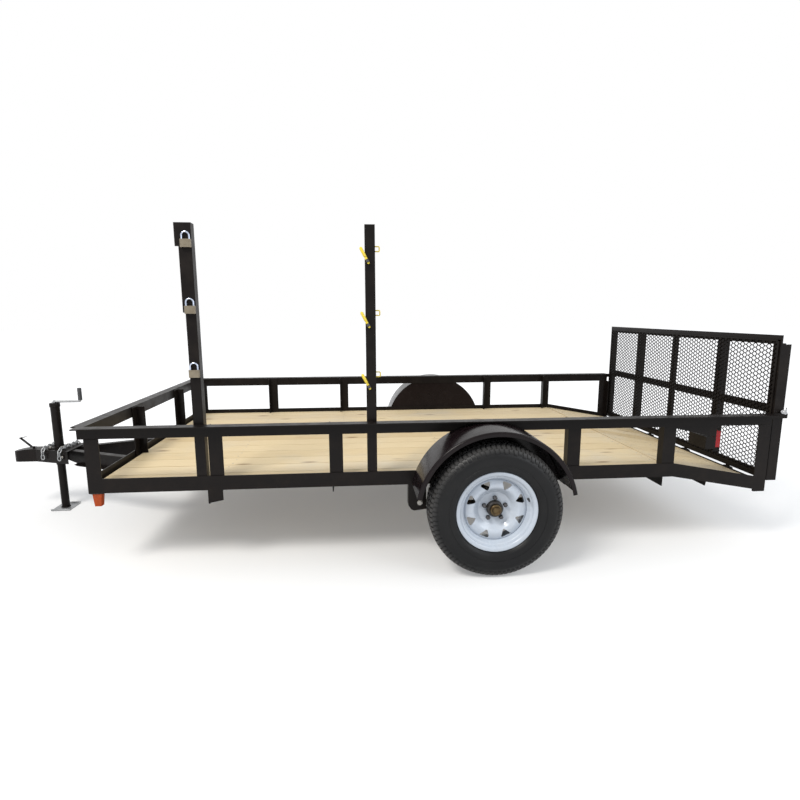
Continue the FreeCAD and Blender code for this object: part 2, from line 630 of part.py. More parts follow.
def axle_clamp():
    """Saddle on the spring, tie plate under it and two U-bolts over the axle tube."""
    x, y = value("axle_x"), value("spring_y")
    top = value("axle_height - axle_radius - seat_wall")
    wall = value("seat_wall")
    length, width = value("seat_length"), value("spring_width") + 4 * value("ubolt_radius")
    pack = value("leaf_count * leaf_wall + seat_gap")
    radius = value("ubolt_radius")
    saddle = Part.makeBox(length, width, wall + value("axle_radius") / 2,
                          FreeCAD.Vector(x - length / 2, y - width / 2, top))
    saddle = saddle.cut(prism(FreeCAD.Vector(x, y - width / 2, value("axle_height")), (0, 1, 0),
                              value("axle_radius + 2 * part_gap"), width, int(value("bar_sides"))))
    plate = Part.makeBox(length, width, wall,
                         FreeCAD.Vector(x - length / 2, y - width / 2, top - pack - wall))
    pieces = [saddle, plate]
    steps, sides = int(value("ubolt_steps")), int(value("link_sides"))
    reach = (value("axle_radius + part_gap") + radius) / math.cos(math.pi / steps / 2)
    foot = top - pack - 2 * wall
    for side in (-1, 1):
        at = y + side * (value("spring_width / 2 + part_gap") + radius)
        bend = [FreeCAD.Vector(x + reach * math.cos(math.pi * i / steps), at,
                               value("axle_height") + reach * math.sin(math.pi * i / steps))
                for i in range(steps + 1)]
        ends = [FreeCAD.Vector(x + end * reach, at, foot) for end in (1, -1)]
        pieces.append(wire_path([ends[0]] + bend + [ends[1]], (0, 1, 0), radius, sides))
    return pieces[0].multiFuse(pieces[1:]).removeSplitter()


def running_gear():
    axle()
    for label, shape in (("leaf_springs", spring_pack()), ("spring_hangers", hanger_plates()),
                         ("axle_clamps", axle_clamp())):
        left = scripted(label + "_a", shape)
        node(group(label + "_pair", [left, mirrored(label + "_b", left)]), label)


# Wheels

def turned(points, sides):
    """Turns a closed outline of (across, radius) points about the wheel's axis, in equal flat sides."""
    faces = []
    count = len(points)

    def at(point, i):
        angle = 2 * math.pi * (i % sides) / sides - math.pi / 2
        return FreeCAD.Vector(point[1] * math.cos(angle), point[0], point[1] * math.sin(angle))
    for k in range(count):
        a, b = points[k], points[(k + 1) % count]
        if a[1] == 0 and b[1] == 0:
            continue
        for i in range(sides):
            corners = [at(a, i), at(b, i), at(b, i + 1), at(a, i + 1)]
            if b[1] == 0:
                corners = [at(a, i), at(b, i), at(a, i + 1)]
            elif a[1] == 0:
                corners = [at(a, i), at(b, i), at(b, i + 1)]
            faces.append(Part.Face(Part.makePolygon(corners + corners[:1])))
    solid = Part.Solid(Part.Shell(faces))
    if solid.Volume < 0:
        solid.reverse()
    return solid


def prism(centre, way, radius, length, sides):
    """A straight bar with equal flat sides, from a point along a direction."""
    way = FreeCAD.Vector(way).normalize()
    side = way.cross(FreeCAD.Vector(0, 0, 1)) if abs(way.z) < 0.9 else FreeCAD.Vector(1, 0, 0)
    other = way.cross(side.normalize())
    ring = [centre + side * (radius * math.cos(2 * math.pi * i / sides))
            + other * (radius * math.sin(2 * math.pi * i / sides)) for i in range(sides)]
    return Part.Face(Part.makePolygon(ring + ring[:1])).extrude(way * length)


def wire_path(points, across, wire, sides):
    """A round bar of equal flat sides bent along points that lie in one plane; across is its normal."""
    count = len(points)
    across = FreeCAD.Vector(across).normalize()
    runs = [(points[i + 1] - points[i]).normalize() for i in range(count - 1)]
    rings = []
    for i in range(count):
        before, after = runs[max(i - 1, 0)], runs[min(i, count - 2)]
        first, second = before.cross(across), after.cross(across)
        mitre = (first + second) / (1 + first.dot(second))
        rings.append([points[i] + mitre * (wire * math.cos(2 * math.pi * k / sides))
                      + across * (wire * math.sin(2 * math.pi * k / sides)) for k in range(sides)])
    faces = [Part.Face(Part.makePolygon(ring + ring[:1])) for ring in (rings[0], rings[-1])]
    for i in range(count - 1):
        near, far = rings[i], rings[i + 1]
        for k in range(sides):
            corners = [near[k], near[(k + 1) % sides], far[(k + 1) % sides], far[k]]
            faces.append(Part.Face(Part.makePolygon(corners + corners[:1])))
    solid = Part.Solid(Part.Shell(faces))
    if solid.Volume < 0:
        solid.reverse()
    return solid


def tyre_shape():
    """Tyre with bulging sidewalls and a slightly crowned tread."""
    radius, bead, lip = value("tyre_radius"), value("bead_radius"), value("rim_flange_radius + part_gap")
    half, tread, drop = value("tyre_width / 2"), value("tread_width / 2"), value("shoulder_drop")
    outer = value("rim_width / 2 - rim_wall")
    middle = (lip + radius) / 2
    side = [(tread * 0.7, radius), (tread, radius - drop),
            (half - (half - tread) * 0.2, radius - 3 * drop), (half, middle),
            (half - (half - outer) * 0.3, (lip + middle) / 2 - drop / 2), (outer, lip), (outer, bead)]
    return turned(side + [(-y, radius) for y, radius in reversed(side)], int(value("wheel_sides")))


def rim_shape():
    """Steel wheel: drop-centre barrel and a dished disc with eight cut-outs."""
    half, flange = value("rim_width / 2"), value("rim_flange_radius")
    bead, drop, wall = value("bead_radius"), value("drop_radius"), value("rim_wall")
    deep, part = value("drop_half"), value("part_gap")
    barrel = [(-half, flange), (-half, bead - wall), (-deep, drop - wall), (deep, drop - wall),
              (half, bead - wall), (half, flange), (half - wall, flange), (half - wall, bead - part),
              (wall - half, bead - part), (wall - half, flange)]
    sides = int(value("wheel_sides"))
    tube = turned(barrel, sides)
    face = value("disc_offset - disc_wall")
    deep, thick = value("dish_depth"), value("disc_wall")
    bore, dish, edge = value("bore_radius"), value("dish_radius"), value("drop_radius - rim_wall / 4")
    disc = turned([(face, bore), (face, dish), (face + deep, dish + deep), (face + deep / 2, edge),
                   (face + deep / 2 + thick, edge), (face + deep + thick, edge - deep / 3),
                   (face + deep + thick, dish + deep), (face + thick, dish), (face + thick, bore)],
                  int(value("disc_sides")))
    wheel = tube.fuse(disc)
    inner, outer, base = value("hole_inner"), value("hole_outer"), value("hole_base") / 2
    edge_in = face - deep
    triangle = Part.makePolygon([FreeCAD.Vector(inner, edge_in, 0), FreeCAD.Vector(outer, edge_in, base),
                                 FreeCAD.Vector(outer, edge_in, -base), FreeCAD.Vector(inner, edge_in, 0)])
    hole = Part.Face(triangle).extrude(FreeCAD.Vector(0, 4 * deep, 0))
    tools = []
    count = int(value("hole_count"))
    for i in range(count):
        tool = hole.copy()
        tool.rotate(FreeCAD.Vector(0, 0, 0), FreeCAD.Vector(0, 1, 0), (i + 0.5) * 360 / count)
        tools.append(tool)
    return wheel.cut(Part.Compound(tools)).removeSplitter()


def hub_shape():
    """Hub barrel and flange on the spindle, with its grease cap and five wheel nuts."""
    face = value("hub_face - wheel_half")
    inner = value("hub_inner - wheel_half")
    flange, thick = value("hub_flange"), value("hub_flange_wall")
    nose = value("hub_nose")
    sides = int(value("hub_sides"))
    bore = value("spindle_radius + spindle_fit") / math.cos(math.pi / sides)
    seat = value("disc_offset - disc_wall")
    end = value("spindle_half - wheel_half + spindle_fit * 5")
    outline = [(inner, bore), (inner, value("hub_barrel")), (seat - thick, value("hub_barrel")),
               (seat - thick, flange), (seat, flange), (seat, value("hub_radius")),
               (face + nose / 2, value("hub_radius")),
               (face + nose, value("cap_radius")), (face + nose + value("cap_length"), value("cap_radius")),
               (face + nose + value("cap_length"), 0), (end, 0), (end, bore)]
    hub = turned(outline, sides)
    count = int(value("nut_count"))
    pieces = []
    for i in range(count):
        angle = math.radians(90 + i * 360 / count)
        at = value("lug_circle") / 2
        start = FreeCAD.Vector(at * math.cos(angle), seat, at * math.sin(angle))
        pieces.append(prism(start, (0, 1, 0), value("nut_radius"), value("nut_length + disc_wall"), 6))
    return hub.multiFuse(pieces).removeSplitter()


def wheels():
    for label, shape in (("tyre", tyre_shape()), ("rim", rim_shape()), ("hub", hub_shape())):
        if label == "rim":
            holes = []
            count = int(value("nut_count"))
            for i in range(count):
                angle = math.radians(90 + i * 360 / count)
                at = value("lug_circle") / 2
                start = FreeCAD.Vector(at * math.cos(angle), -value("2 * dish_depth"), at * math.sin(angle))
                holes.append(prism(start, (0, 1, 0), value("nut_radius + part_gap"),
                                   value("4 * dish_depth"), 6))
            shape = shape.cut(Part.Compound(holes)).removeSplitter()
        left = scripted(label + "_a", shape)
        place(left, "axle_x", "wheel_half", "axle_height")
        node(left, label + "_left")
        node(mirrored(label + "_b", left), label + "_right")


# Fenders

def fender_shape():
    """Round fender: a rolled band, a turned-down lip on its outer edge and an apron on the sill."""
    x, z = value("axle_x"), value("axle_height")
    radius, wall = value("fender_radius"), value("fender_wall")
    start = value("side_y")
    width, lip = value("fender_width"), value("fender_lip")
    foot = math.asin(value("fender_foot") / radius)
    steps = int(value("fender_steps"))

    def arc(reach, y):
        turns = [foot + (math.pi - 2 * foot) * i / steps for i in range(steps + 1)]
        return [FreeCAD.Vector(x + reach * math.cos(turn), y, z + reach * math.sin(turn)) for turn in turns]

    def band(inner, y, depth):
        outline = arc(radius, y) + arc(inner, y)[::-1]
        return Part.Face(Part.makePolygon(outline + outline[:1])).extrude(FreeCAD.Vector(0, depth, 0))
    roll = band(radius - wall, start, width)
    edge = band(radius - lip, start + width - wall, wall)
    floor = value("sill_z + sill_leg / 2")
    ends = arc(radius, start)
    keep = Part.makeBox(2 * radius, wall, 2 * radius, FreeCAD.Vector(x - radius, start, floor))
    apron = Part.Face(Part.makePolygon(ends + ends[:1])).extrude(FreeCAD.Vector(0, wall, 0)).common(keep)
    return roll.fuse(edge).fuse(apron).removeSplitter()


def fenders():
    left = node(scripted("fender_a", fender_shape()), "fender_left")
    node(mirrored("fender_b", left), "fender_right")


# Ramp gate

def gate_frame():
    """Side members, three posts between them and three bars across."""
    top, low, mid = "gate_top - gate_bar", "gate_bottom", "(gate_top + gate_bottom) / 2 - gate_bar / 2"
    pieces = []
    left = profile("gate_side", "xy", angle_outline("gate_leg", "gate_leg", "gate_wall", "right high"),
                   top + " - gate_bottom", "gate_x - gate_leg", "gate_half - gate_leg", low)
    pieces += [left, mirrored("gate_side_right", left)]
    pieces.append(box("gate_top_bar", "gate_x - gate_wall", "-gate_half", top, "gate_wall", "2 * gate_half",
                      "gate_bar"))
    pieces.append(box("gate_top_ledge", "gate_x - gate_tube", "-gate_half", top, "gate_tube",
                      "2 * gate_half", "gate_wall"))
    for z in (low, mid):
        pieces.append(box("gate_cross_bar", "gate_x - gate_wall", "gate_wall - gate_half", z, "gate_wall",
                          "2 * (gate_half - gate_wall)", "gate_bar"))
        pieces.append(box("gate_cross_ledge", "gate_x - gate_tube", "gate_wall - gate_half", z, "gate_tube",
                          "2 * (gate_half - gate_wall)", "gate_wall"))
    for share, heel in (("-1", "right high"), ("0", "right low"), ("1", "right high")):
        pieces.append(profile("gate_post", "xy",
                              angle_outline("gate_post_leg", "gate_post", "gate_wall", heel),
                              top + " - gate_bottom", "gate_x - gate_post_leg",
                              "%s * gate_half / 2 - gate_post / 2" % share, low))
    node(fuse("gate_bars", pieces), "gate_frame")


def mesh_layer(sign, front):
    """One layer of slanting strands, trimmed to the gate and held by a thin border."""
    half = value("gate_half - gate_wall - mesh_border")
    low, high = value("gate_bottom + gate_bar / 2"), value("gate_top - gate_bar / 2")
    pitch, rise = value("mesh_pitch"), value("mesh_rise")
    strand, wall = value("mesh_strand"), value("mesh_wall")
    height = high - low
    lean = height * pitch / rise
    count = int((2 * half + lean) / pitch)
    frame = Part.makeBox(wall, 2 * half, height, FreeCAD.Vector(front, -half, low))
    strips = []
    for i in range(count + 1):
        y = -half - lean + i * pitch if sign > 0 else -half + i * pitch
        points = [FreeCAD.Vector(front, y, low), FreeCAD.Vector(front, y + strand, low),
                  FreeCAD.Vector(front, y + strand + sign * lean, high),
                  FreeCAD.Vector(front, y + sign * lean, high)]
        strips.append(Part.Face(Part.makePolygon(points + points[:1])).extrude(FreeCAD.Vector(wall, 0, 0)))
    trimmed = Part.Compound(strips).common(frame)
    border = value("mesh_border")
    inside = Part.makeBox(wall, 2 * (half - border), height - 2 * border,
                          FreeCAD.Vector(front, border - half, low + border))
    return frame.cut(inside).multiFuse(trimmed.Solids).removeSplitter()


def gate():
    gate_frame()
    node(scripted("mesh_a", mesh_layer(1, value("gate_x"))), "gate_mesh_rising")
    node(scripted("mesh_b", mesh_layer(-1, value("gate_x + mesh_wall"))), "gate_mesh_falling")
    x, z = value("hinge_x"), value("hinge_z")
    radius, pin, wall = value("hinge_radius"), value("hinge_pin"), value("lug_wall")
    length, side = value("knuckle_length"), value("hinge_side_gap")
    fixed, moving = [], []
    rear = value("rear_x")
    across = FreeCAD.Vector(0, 1, 0)
    sides = int(value("eye_sides"))
    slack = (pin + value("hinge_fit")) / math.cos(math.pi / sides)
    for at in (-value("hinge_far"), -value("hinge_near"), value("hinge_near"), value("hinge_far")):
        half = length / 2
        lugs = []
        for start in (at - half - side - wall, at + half + side):
            ear = prism(FreeCAD.Vector(x, start, z), (0, 1, 0), radius, wall, sides)
            arm = Part.makeBox(rear - x, wall, 2 * radius, FreeCAD.Vector(x, start, z - radius))
            lugs += [ear, arm]
        lugs.append(prism(FreeCAD.Vector(x, at - half - side - wall, z), (0, 1, 0), pin,
                          length + 2 * (side + wall), sides))
        fixed.append(lugs[0].multiFuse(lugs[1:]).removeSplitter())
        tube = prism(FreeCAD.Vector(x, at - half, z), across, radius, length, sides)
        tab = Part.makeBox(value("gate_wall"), length, value("gate_bottom") - z,
                           FreeCAD.Vector(x, at - half, z))
        bore = prism(FreeCAD.Vector(x, at - half, z), across, slack, length, sides)
        moving.append(tube.fuse(tab).cut(bore).removeSplitter())
    node(scripted("hinge_fixed", Part.Compound(fixed)), "gate_hinge_lugs")
    node(scripted("hinge_moving", Part.Compound(moving)), "gate_hinge_knuckles")
    tab = box("latch_tab", "axle_x - tail_reach", "side_y - steel_wall", "rail_z - tab_height",
              "rear_x - axle_x + tail_reach", "tab_wall", "tab_height")
    barrel = bar("latch_barrel", "y", "rear_x - latch_back", "side_y - steel_wall", "rail_z + latch_radius",
                 "latch_radius", "latch_length", "eye_sides")
    handle = bar("latch_handle_bar", "z", "rear_x - latch_back", "side_y + latch_length - latch_radius",
                 "rail_z + latch_radius", "latch_pin", "latch_handle", "small_sides")
    node(group("latch_tabs", [tab, mirrored("latch_tab_right", tab)]), "gate_latch_tabs")
    latch = fuse("latch", [barrel, handle])
    node(group("latches", [latch, mirrored("latch_right", latch)]), "gate_latches")


# Lamps

def lamps():
    across = "side_y - marker_inset - marker_depth"
    plate = box("marker_base", "front_x - marker_back - marker_length / 2 - marker_plate", across,
                "sill_z - marker_plate", "marker_length + 2 * marker_plate", "marker_depth", "marker_plate")
    lens = profile("marker_lens", "xz",
                   [("marker_taper", "0"), ("marker_length - marker_taper", "0"),
                    ("marker_length", "marker_height"), ("0", "marker_height")], "marker_depth",
                   "front_x - marker_back - marker_length / 2", across,
                   "sill_z - marker_plate - marker_height")
    node(group("marker_bases", [plate, mirrored("marker_base_right", plate)]), "marker_brackets")
    node(group("markers", [lens, mirrored("marker_right", lens)]), "marker_lenses")
    x = "front_x - lamp_station"
    start = "side_y - lamp_inset - lamp_width"
    housing = box("lamp_box", x + " + lamp_depth * (lens_share - 1)", start, "lamp_top - lamp_height",
                  "lamp_depth * (1 - lens_share)", "lamp_width", "lamp_height")
    lens = box("lamp_face", x + " - lamp_depth", start, "lamp_top - lamp_height", "lamp_depth * lens_share",
               "lamp_width", "lamp_height")
    reach = "lamp_station - post_five - post_width / 2"
    high = "rail_low_z - lamp_top + bracket_drop"
    bracket = profile("lamp_bracket", "xz",
                      [("0", "0"), (reach, high + " - bracket_tip"), (reach, high), ("0", high)],
                      "bracket_wall", x, "inner_y - bracket_wall", "lamp_top - bracket_drop")
    shelf = box("lamp_shelf", x, start, "lamp_top - bracket_drop - lamp_base_height", "lamp_base",
                "inner_y - (%s)" % start, "lamp_base_height")
    node(fuse("lamp_carrier", [bracket, shelf]), "tail_lamp_brackets")
    node(housing, "tail_lamp_housings")
    node(lens, "tail_lamp_lenses")


# Rack posts

def rack_post(label, station, holders):
    x = "front_x - %s" % station
    outer = box("rack_tube", x + " - rack_width / 2", "rack_y", "deck_z",
                "rack_width", "rack_width", "rack_top - deck_z")
    hollow = box("rack_hollow", x + " - rack_width / 2 + rack_wall", "rack_y + rack_wall", "deck_z",
                 "rack_width - 2 * rack_wall", "rack_width - 2 * rack_wall",
                 "rack_top - deck_z - rack_wall")
    tube = cut("rack_bore", outer, hollow)
    pieces = [tube]
    plates = (("holder_reach", "0", "holder_height"), ("strip_reach", "holder_height", "strip_height"))
    for reach, above, height in plates if holders else ():
        pieces.append(box("lock_holder", x + " + rack_width / 2", "rack_y + rack_width - holder_wall",
                          "rack_top - %s - %s" % (above, height), reach, "holder_wall", height))
    node(fuse("rack", pieces) if holders else tube, label)


def rack_fittings():
    """Padlocks on the front post; handles and keeper loops on the one behind it."""
    locks, shackles, hooks = [], [], []
    y = value("rack_y + rack_width")
    wide, tall, deep = value("lock_width"), value("lock_height"), value("lock_depth")
    wire, reach = value("shackle_radius"), value("shackle_reach")
    half = wide / 2 - 2 * wire
    across = FreeCAD.Vector(0, 1, 0)
    steps, sides = int(value("ubolt_steps")), int(value("small_sides"))
    top = value("rack_top")
    for i in range(3):
        down = i * value("rack_pitch")
        x, z = value("front_x - rack_one"), top - value("lock_drop") - down
        locks.append(Part.makeBox(wide, deep, tall, FreeCAD.Vector(x - wide / 2, y, z - tall)))
        middle = y + deep / 2
        bend = [FreeCAD.Vector(x + half * math.cos(math.pi * k / steps), middle,
                               z + reach + half * math.sin(math.pi * k / steps)) for k in range(steps + 1)]
        ends = [FreeCAD.Vector(x + end * half, middle, z) for end in (1, -1)]
        shackles.append(wire_path([ends[0]] + bend + [ends[1]], across, wire, sides))
        # a leaning handle on a stub, and a keeper loop behind the post
        x, z = value("front_x - rack_two"), top - value("hook_drop") - down
        run, rise = value("hook_run"), value("hook_rise")
        width, wall, stub = value("hook_width"), value("hook_wall"), value("hook_stub")
        start = FreeCAD.Vector(x + width, y + stub, z)
        lean = FreeCAD.Vector(run, 0, rise).normalize()
        side = FreeCAD.Vector(lean.z, 0, -lean.x) * (width / 2)
        low, high = start - lean * width, start + FreeCAD.Vector(run, 0, rise)
        corners = [low - side, low + side, high + side, high - side]
        handle = Part.Face(Part.makePolygon(corners + corners[:1])).extrude(across * wall)
        pivot = prism(FreeCAD.Vector(start.x, y, z), across, width / 2, stub + 2 * wall, 8)
        hooks.append(handle.fuse(pivot).removeSplitter())
        back, level = x - value("rack_width / 2"), top - value("ring_drop") - down
        thin, out, high = value("ring_wire"), value("ring_reach"), value("ring_height")
        middle = value("rack_y + rack_width / 2")
        loop = [FreeCAD.Vector(back, middle, level), FreeCAD.Vector(back - out + thin, middle, level),
                FreeCAD.Vector(back - out, middle, level - thin),
                FreeCAD.Vector(back - out, middle, level - high + thin),
                FreeCAD.Vector(back - out + thin, middle, level - high),
                FreeCAD.Vector(back, middle, level - high)]
        hooks.append(wire_path(loop, across, thin, sides))
    node(scripted("lock_bodies", Part.Compound(locks)), "padlock_bodies")
    node(scripted("lock_shackles", Part.Compound(shackles)), "padlock_shackles")
    node(scripted("hooks", Part.Compound(hooks)), "rack_hooks")


# Safety chains

def link_shape(inside):
    """One oval link of flat-sided wire, its long way along X and flat in the XY plane."""
    wire, width = value("chain_wire"), value("chain_width")
    half, side = inside / 2 - width / 2, width / 2 + wire
    steps, sides = int(value("link_steps")), int(value("link_sides"))
    loop = []
    for sign in (1, -1):
        for i in range(steps + 1):
            angle = math.pi * (i / steps - 0.5)
            loop.append(FreeCAD.Vector(sign * (half + side * math.cos(angle)),
                                       sign * side * math.sin(angle), 0))
    count = len(loop)
    normals = []
    for i in range(count):
        run = loop[(i + 1) % count] - loop[i]
        normals.append(FreeCAD.Vector(run.y, -run.x, 0).normalize())
    rings = []
    for i in range(count):
        before, after = normals[i - 1], normals[i]
        mitre = (before + after) / (1 + before.dot(after))
        rings.append([loop[i] + mitre * (wire * math.cos(2 * math.pi * k / sides))
                      + FreeCAD.Vector(0, 0, wire * math.sin(2 * math.pi * k / sides))
                      for k in range(sides)])
    faces = []
    for i in range(count):
        near, far = rings[i], rings[(i + 1) % count]
        for k in range(sides):
            corners = [near[k], near[(k + 1) % sides], far[(k + 1) % sides], far[k]]
            faces.append(Part.Face(Part.makePolygon(corners + corners[:1])))
    solid = Part.Solid(Part.Shell(faces))
    if solid.Volume < 0:
        solid.reverse()
    return solid


def safety_chains():
    """Two chains that lie over the coupler, before and behind the jack, and hang down beside it."""
    wire, width, play = value("chain_wire"), value("chain_width"), value("chain_play")
    top = value("sill_z + coupler_lift + coupler_wall")
    shoulder, nose = value("axle_x + coupler_shoulder"), value("nose_half")
    spread = (coupler_half() - nose) / value("coupler_shoulder - coupler_back")
    lift = wire + value("part_gap - chain_seat")
    outer = width / 2 + wire + lift
    corner = math.sqrt(0.5)
    links = []
    for x, across in ((value("jack_x + jack_plate_half") + outer, int(value("chain_front_links"))),
                      (value("jack_x - jack_plate_half") - outer, int(value("chain_rear_links")))):
        half = nose + spread * (shoulder - x + outer)
        # the inside length is such that a whole number of links spans the coupler
        span = 2 * half + (lift - wire) / corner + 2 * wire + (across + 1) / 2 * play
        inside = span / (across + corner)
        lengths = (inside + 2 * wire, inside - 2 * wire - play)
        down = int(value("chain_down"))
        angles = [90] * down + [45] + [0] * across + [-45] + [-90] * down
        at = FreeCAD.Vector(x, -half - (lift + inside / 2 + wire) * corner,
                            top + (lift - inside / 2 - wire) * corner)
        for number in range(down):
            at.z -= lengths[(number + 1) % 2]
        for number, angle in enumerate(angles):
            kind = (number + down) % 2
            way = FreeCAD.Vector(0, math.cos(math.radians(angle)), math.sin(math.radians(angle)))
            link = link_shape(inside)
            link.rotate(FreeCAD.Vector(0, 0, 0), FreeCAD.Vector(1, 0, 0), 90 * kind)
            tilt = FreeCAD.Rotation(FreeCAD.Vector(1, 0, 0), angle)
            spin = tilt.multiply(FreeCAD.Rotation(FreeCAD.Vector(0, 0, 1), 90))
            there = FreeCAD.Placement(at + way * (lengths[kind] / 2), spin)
            link.Placement = there.multiply(link.Placement)
            links.append(link)
            at = at + way * lengths[kind]
    node(scripted("chains", Part.Compound(links)), "safety_chains")


bed_frame()
uprights()
crossmembers()
planks()
tongue()
coupler()
coupler_latch()
jack()
running_gear()
wheels()
fenders()
gate()
lamps()
rack_post("rack_post_front", "rack_one", True)
rack_post("rack_post_rear", "rack_two", False)
rack_fittings()
safety_chains()
doc.recompute()

# Every object has to have come out whole before anything is written.
faults = [o.Label for o in doc.Objects if {"Invalid", "Error"} & set(o.State)]
for piece in NODES:
    if piece.Shape.isNull() or not piece.Shape.isValid():
        faults.append(piece.Label)
if faults:
    raise RuntimeError("failed objects: " + ", ".join(faults))

os.makedirs("parts", exist_ok=True)
for piece in NODES:
    piece.Shape.exportStep("parts/%s.step" % piece.Label)
    print(piece.Label, len(piece.Shape.Solids), "solids", round(piece.Shape.Volume / 1e6, 3), "litres")
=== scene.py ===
"""Looks for the utility trailer: camera, light, materials and the detailed pieces.

Places are in metres, as in the frame. Profiles, radii, wires and bevels are in millimetres.
"""
import random
from math import asin, cos, pi, radians, sin, tan

import bmesh
import bpy
import numpy
from mathutils import Matrix, Vector


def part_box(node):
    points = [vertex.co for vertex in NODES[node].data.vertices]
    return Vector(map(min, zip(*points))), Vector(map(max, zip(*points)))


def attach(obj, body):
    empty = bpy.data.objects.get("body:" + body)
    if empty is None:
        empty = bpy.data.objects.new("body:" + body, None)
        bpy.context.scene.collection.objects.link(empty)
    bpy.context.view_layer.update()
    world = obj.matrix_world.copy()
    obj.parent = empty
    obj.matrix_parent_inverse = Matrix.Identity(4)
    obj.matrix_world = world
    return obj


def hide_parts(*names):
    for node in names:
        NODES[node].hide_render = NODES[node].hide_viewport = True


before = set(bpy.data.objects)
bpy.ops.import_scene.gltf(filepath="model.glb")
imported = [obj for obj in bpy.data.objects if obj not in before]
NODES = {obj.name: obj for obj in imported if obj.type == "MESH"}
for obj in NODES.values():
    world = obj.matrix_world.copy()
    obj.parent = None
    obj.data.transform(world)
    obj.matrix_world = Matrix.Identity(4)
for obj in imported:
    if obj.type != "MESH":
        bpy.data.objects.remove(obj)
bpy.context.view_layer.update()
MM = 0.001


def size_of(node):
    """The low corner, the high corner and the middle of a node's box."""
    low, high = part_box(node)
    return low, high, (low + high) / 2


AXLE = size_of("axle_beam")[2]
WHEEL_Y = size_of("rim_left")[2].y
HINGE_X = size_of("gate_hinge_knuckles")[2].x
PLANK_COUNT = 13
PLANK_LOW, PLANK_HIGH, _ = size_of("deck_planks_main")
PLANK_PITCH = (PLANK_HIGH.y - PLANK_LOW.y) / PLANK_COUNT
SIDES = (("left", 1), ("right", -1))
# the angles at which a bend's corner is stepped
BEND = (0.4, 0.8, 1.2, pi / 2)


# Materials

class Nodes:
    """Short ways to add and join the nodes of one material."""

    def __init__(self, name):
        self.material = bpy.data.materials.new(name)
        self.material.use_nodes = True
        self.tree = self.material.node_tree
        self.tree.nodes.clear()
        self.shader = self.add("ShaderNodeBsdfPrincipled")
        self.add("ShaderNodeOutputMaterial", Surface=self.shader.outputs["BSDF"])
        self.place = self.add("ShaderNodeTexCoord").outputs["Object"]

    def feed(self, entry, item):
        """Gives an input a socket to read, or a value of its own."""
        if isinstance(item, bpy.types.NodeSocket):
            self.tree.links.new(item, entry)
        else:
            entry.default_value = item

    def fill(self, node, values):
        """Feeds the inputs that the values are named after; the other values are the node's settings."""
        for key, item in values.items():
            entry = node.inputs.get(key.replace("_", " "))
            if entry is not None:
                self.feed(entry, item)
            else:
                setattr(node, key, item)
        return node

    def add(self, kind, **values):
        return self.fill(self.tree.nodes.new(kind), values)

    def set(self, **values):
        self.fill(self.shader, values)

    def maths(self, kind, operation, items, **values):
        """A Math or Vector Math node on sockets or values."""
        made = self.add(kind, operation=operation, **values)
        for entry, item in zip(made.inputs, items):
            self.feed(entry, item)
        return made

    def number(self, operation, *items):
        return self.maths("ShaderNodeMath", operation, items).outputs["Value"]

    def vector(self, operation, *items, output="Vector", **values):
        return self.maths("ShaderNodeVectorMath", operation, items, **values).outputs[output]

    def scaled(self, scale, source=None):
        """Object coordinates, or another socket, stretched by a scale."""
        return self.add("ShaderNodeMapping", Vector=source or self.place, Scale=scale).outputs["Vector"]

    def pattern(self, kind, source, output="Fac", **values):
        """The output of a texture that is laid over a socket."""
        return self.add("ShaderNodeTex" + kind, Vector=source, **values).outputs[output]

    def noise(self, scale, detail=4, rough=0.5, stretch=(1, 1, 1)):
        return self.pattern("Noise", self.scaled(stretch), Scale=scale, Detail=detail, Roughness=rough)

    def ramp(self, source, stops):
        made = self.add("ShaderNodeValToRGB", Fac=source)
        band = made.color_ramp
        while len(band.elements) < len(stops):
            band.elements.new(0.5)
        for element, (place, colour) in zip(band.elements, stops):
            element.position = place
            element.color = (*colour, 1)
        return made.outputs["Color"]

    def mix(self, first, second, factor):
        """Mixes two colours by a socket; each is a socket or a plain colour."""
        made = self.add("ShaderNodeMix", data_type="RGBA")
        # the places of the factor and of the two colours among the node's inputs
        for place, item in ((0, factor), (6, first), (7, second)):
            self.feed(made.inputs[place], (*item, 1) if isinstance(item, tuple) else item)
        return made.outputs[2]

    def spread(self, source, low, high, start=0.0, end=1.0):
        """A number that runs from low to high while the source runs from start to end."""
        return self.add("ShaderNodeMapRange", Value=source, From_Min=start, From_Max=end, To_Min=low,
                        To_Max=high).outputs["Result"]

    def bump(self, socket, strength, distance):
        """Adds relief on top of any that the shader has already."""
        made = self.add("ShaderNodeBump", Height=socket, Strength=strength, Distance=distance)
        normal = self.shader.inputs["Normal"]
        if normal.links:
            self.feed(made.inputs["Normal"], normal.links[0].from_socket)
        self.feed(normal, made.outputs["Normal"])


def painted(name, base, shade, rough, coat, peel=0.15, dust=(0.30, 0.27, 0.23), dusty=0.12, sheen=0.5):
    """Gloss paint: colour that drifts a little, orange peel, and dust in patches."""
    m = Nodes(name)
    drift = m.noise(3.0, 5)
    patches = m.noise(14.0, 8, 0.65)
    tone = m.mix(base, shade, drift)
    m.set(Base_Color=m.mix(tone, dust, m.spread(patches, 0.0, dusty, 0.45, 0.8)),
          Roughness=m.spread(patches, rough, rough + 0.22, 0.35, 0.8),
          Coat_Weight=coat, Coat_Roughness=0.12, Specular_IOR_Level=sheen)
    m.bump(m.noise(420.0, 2), peel, 0.0006)
    m.bump(drift, 0.05, 0.01)
    return m.material


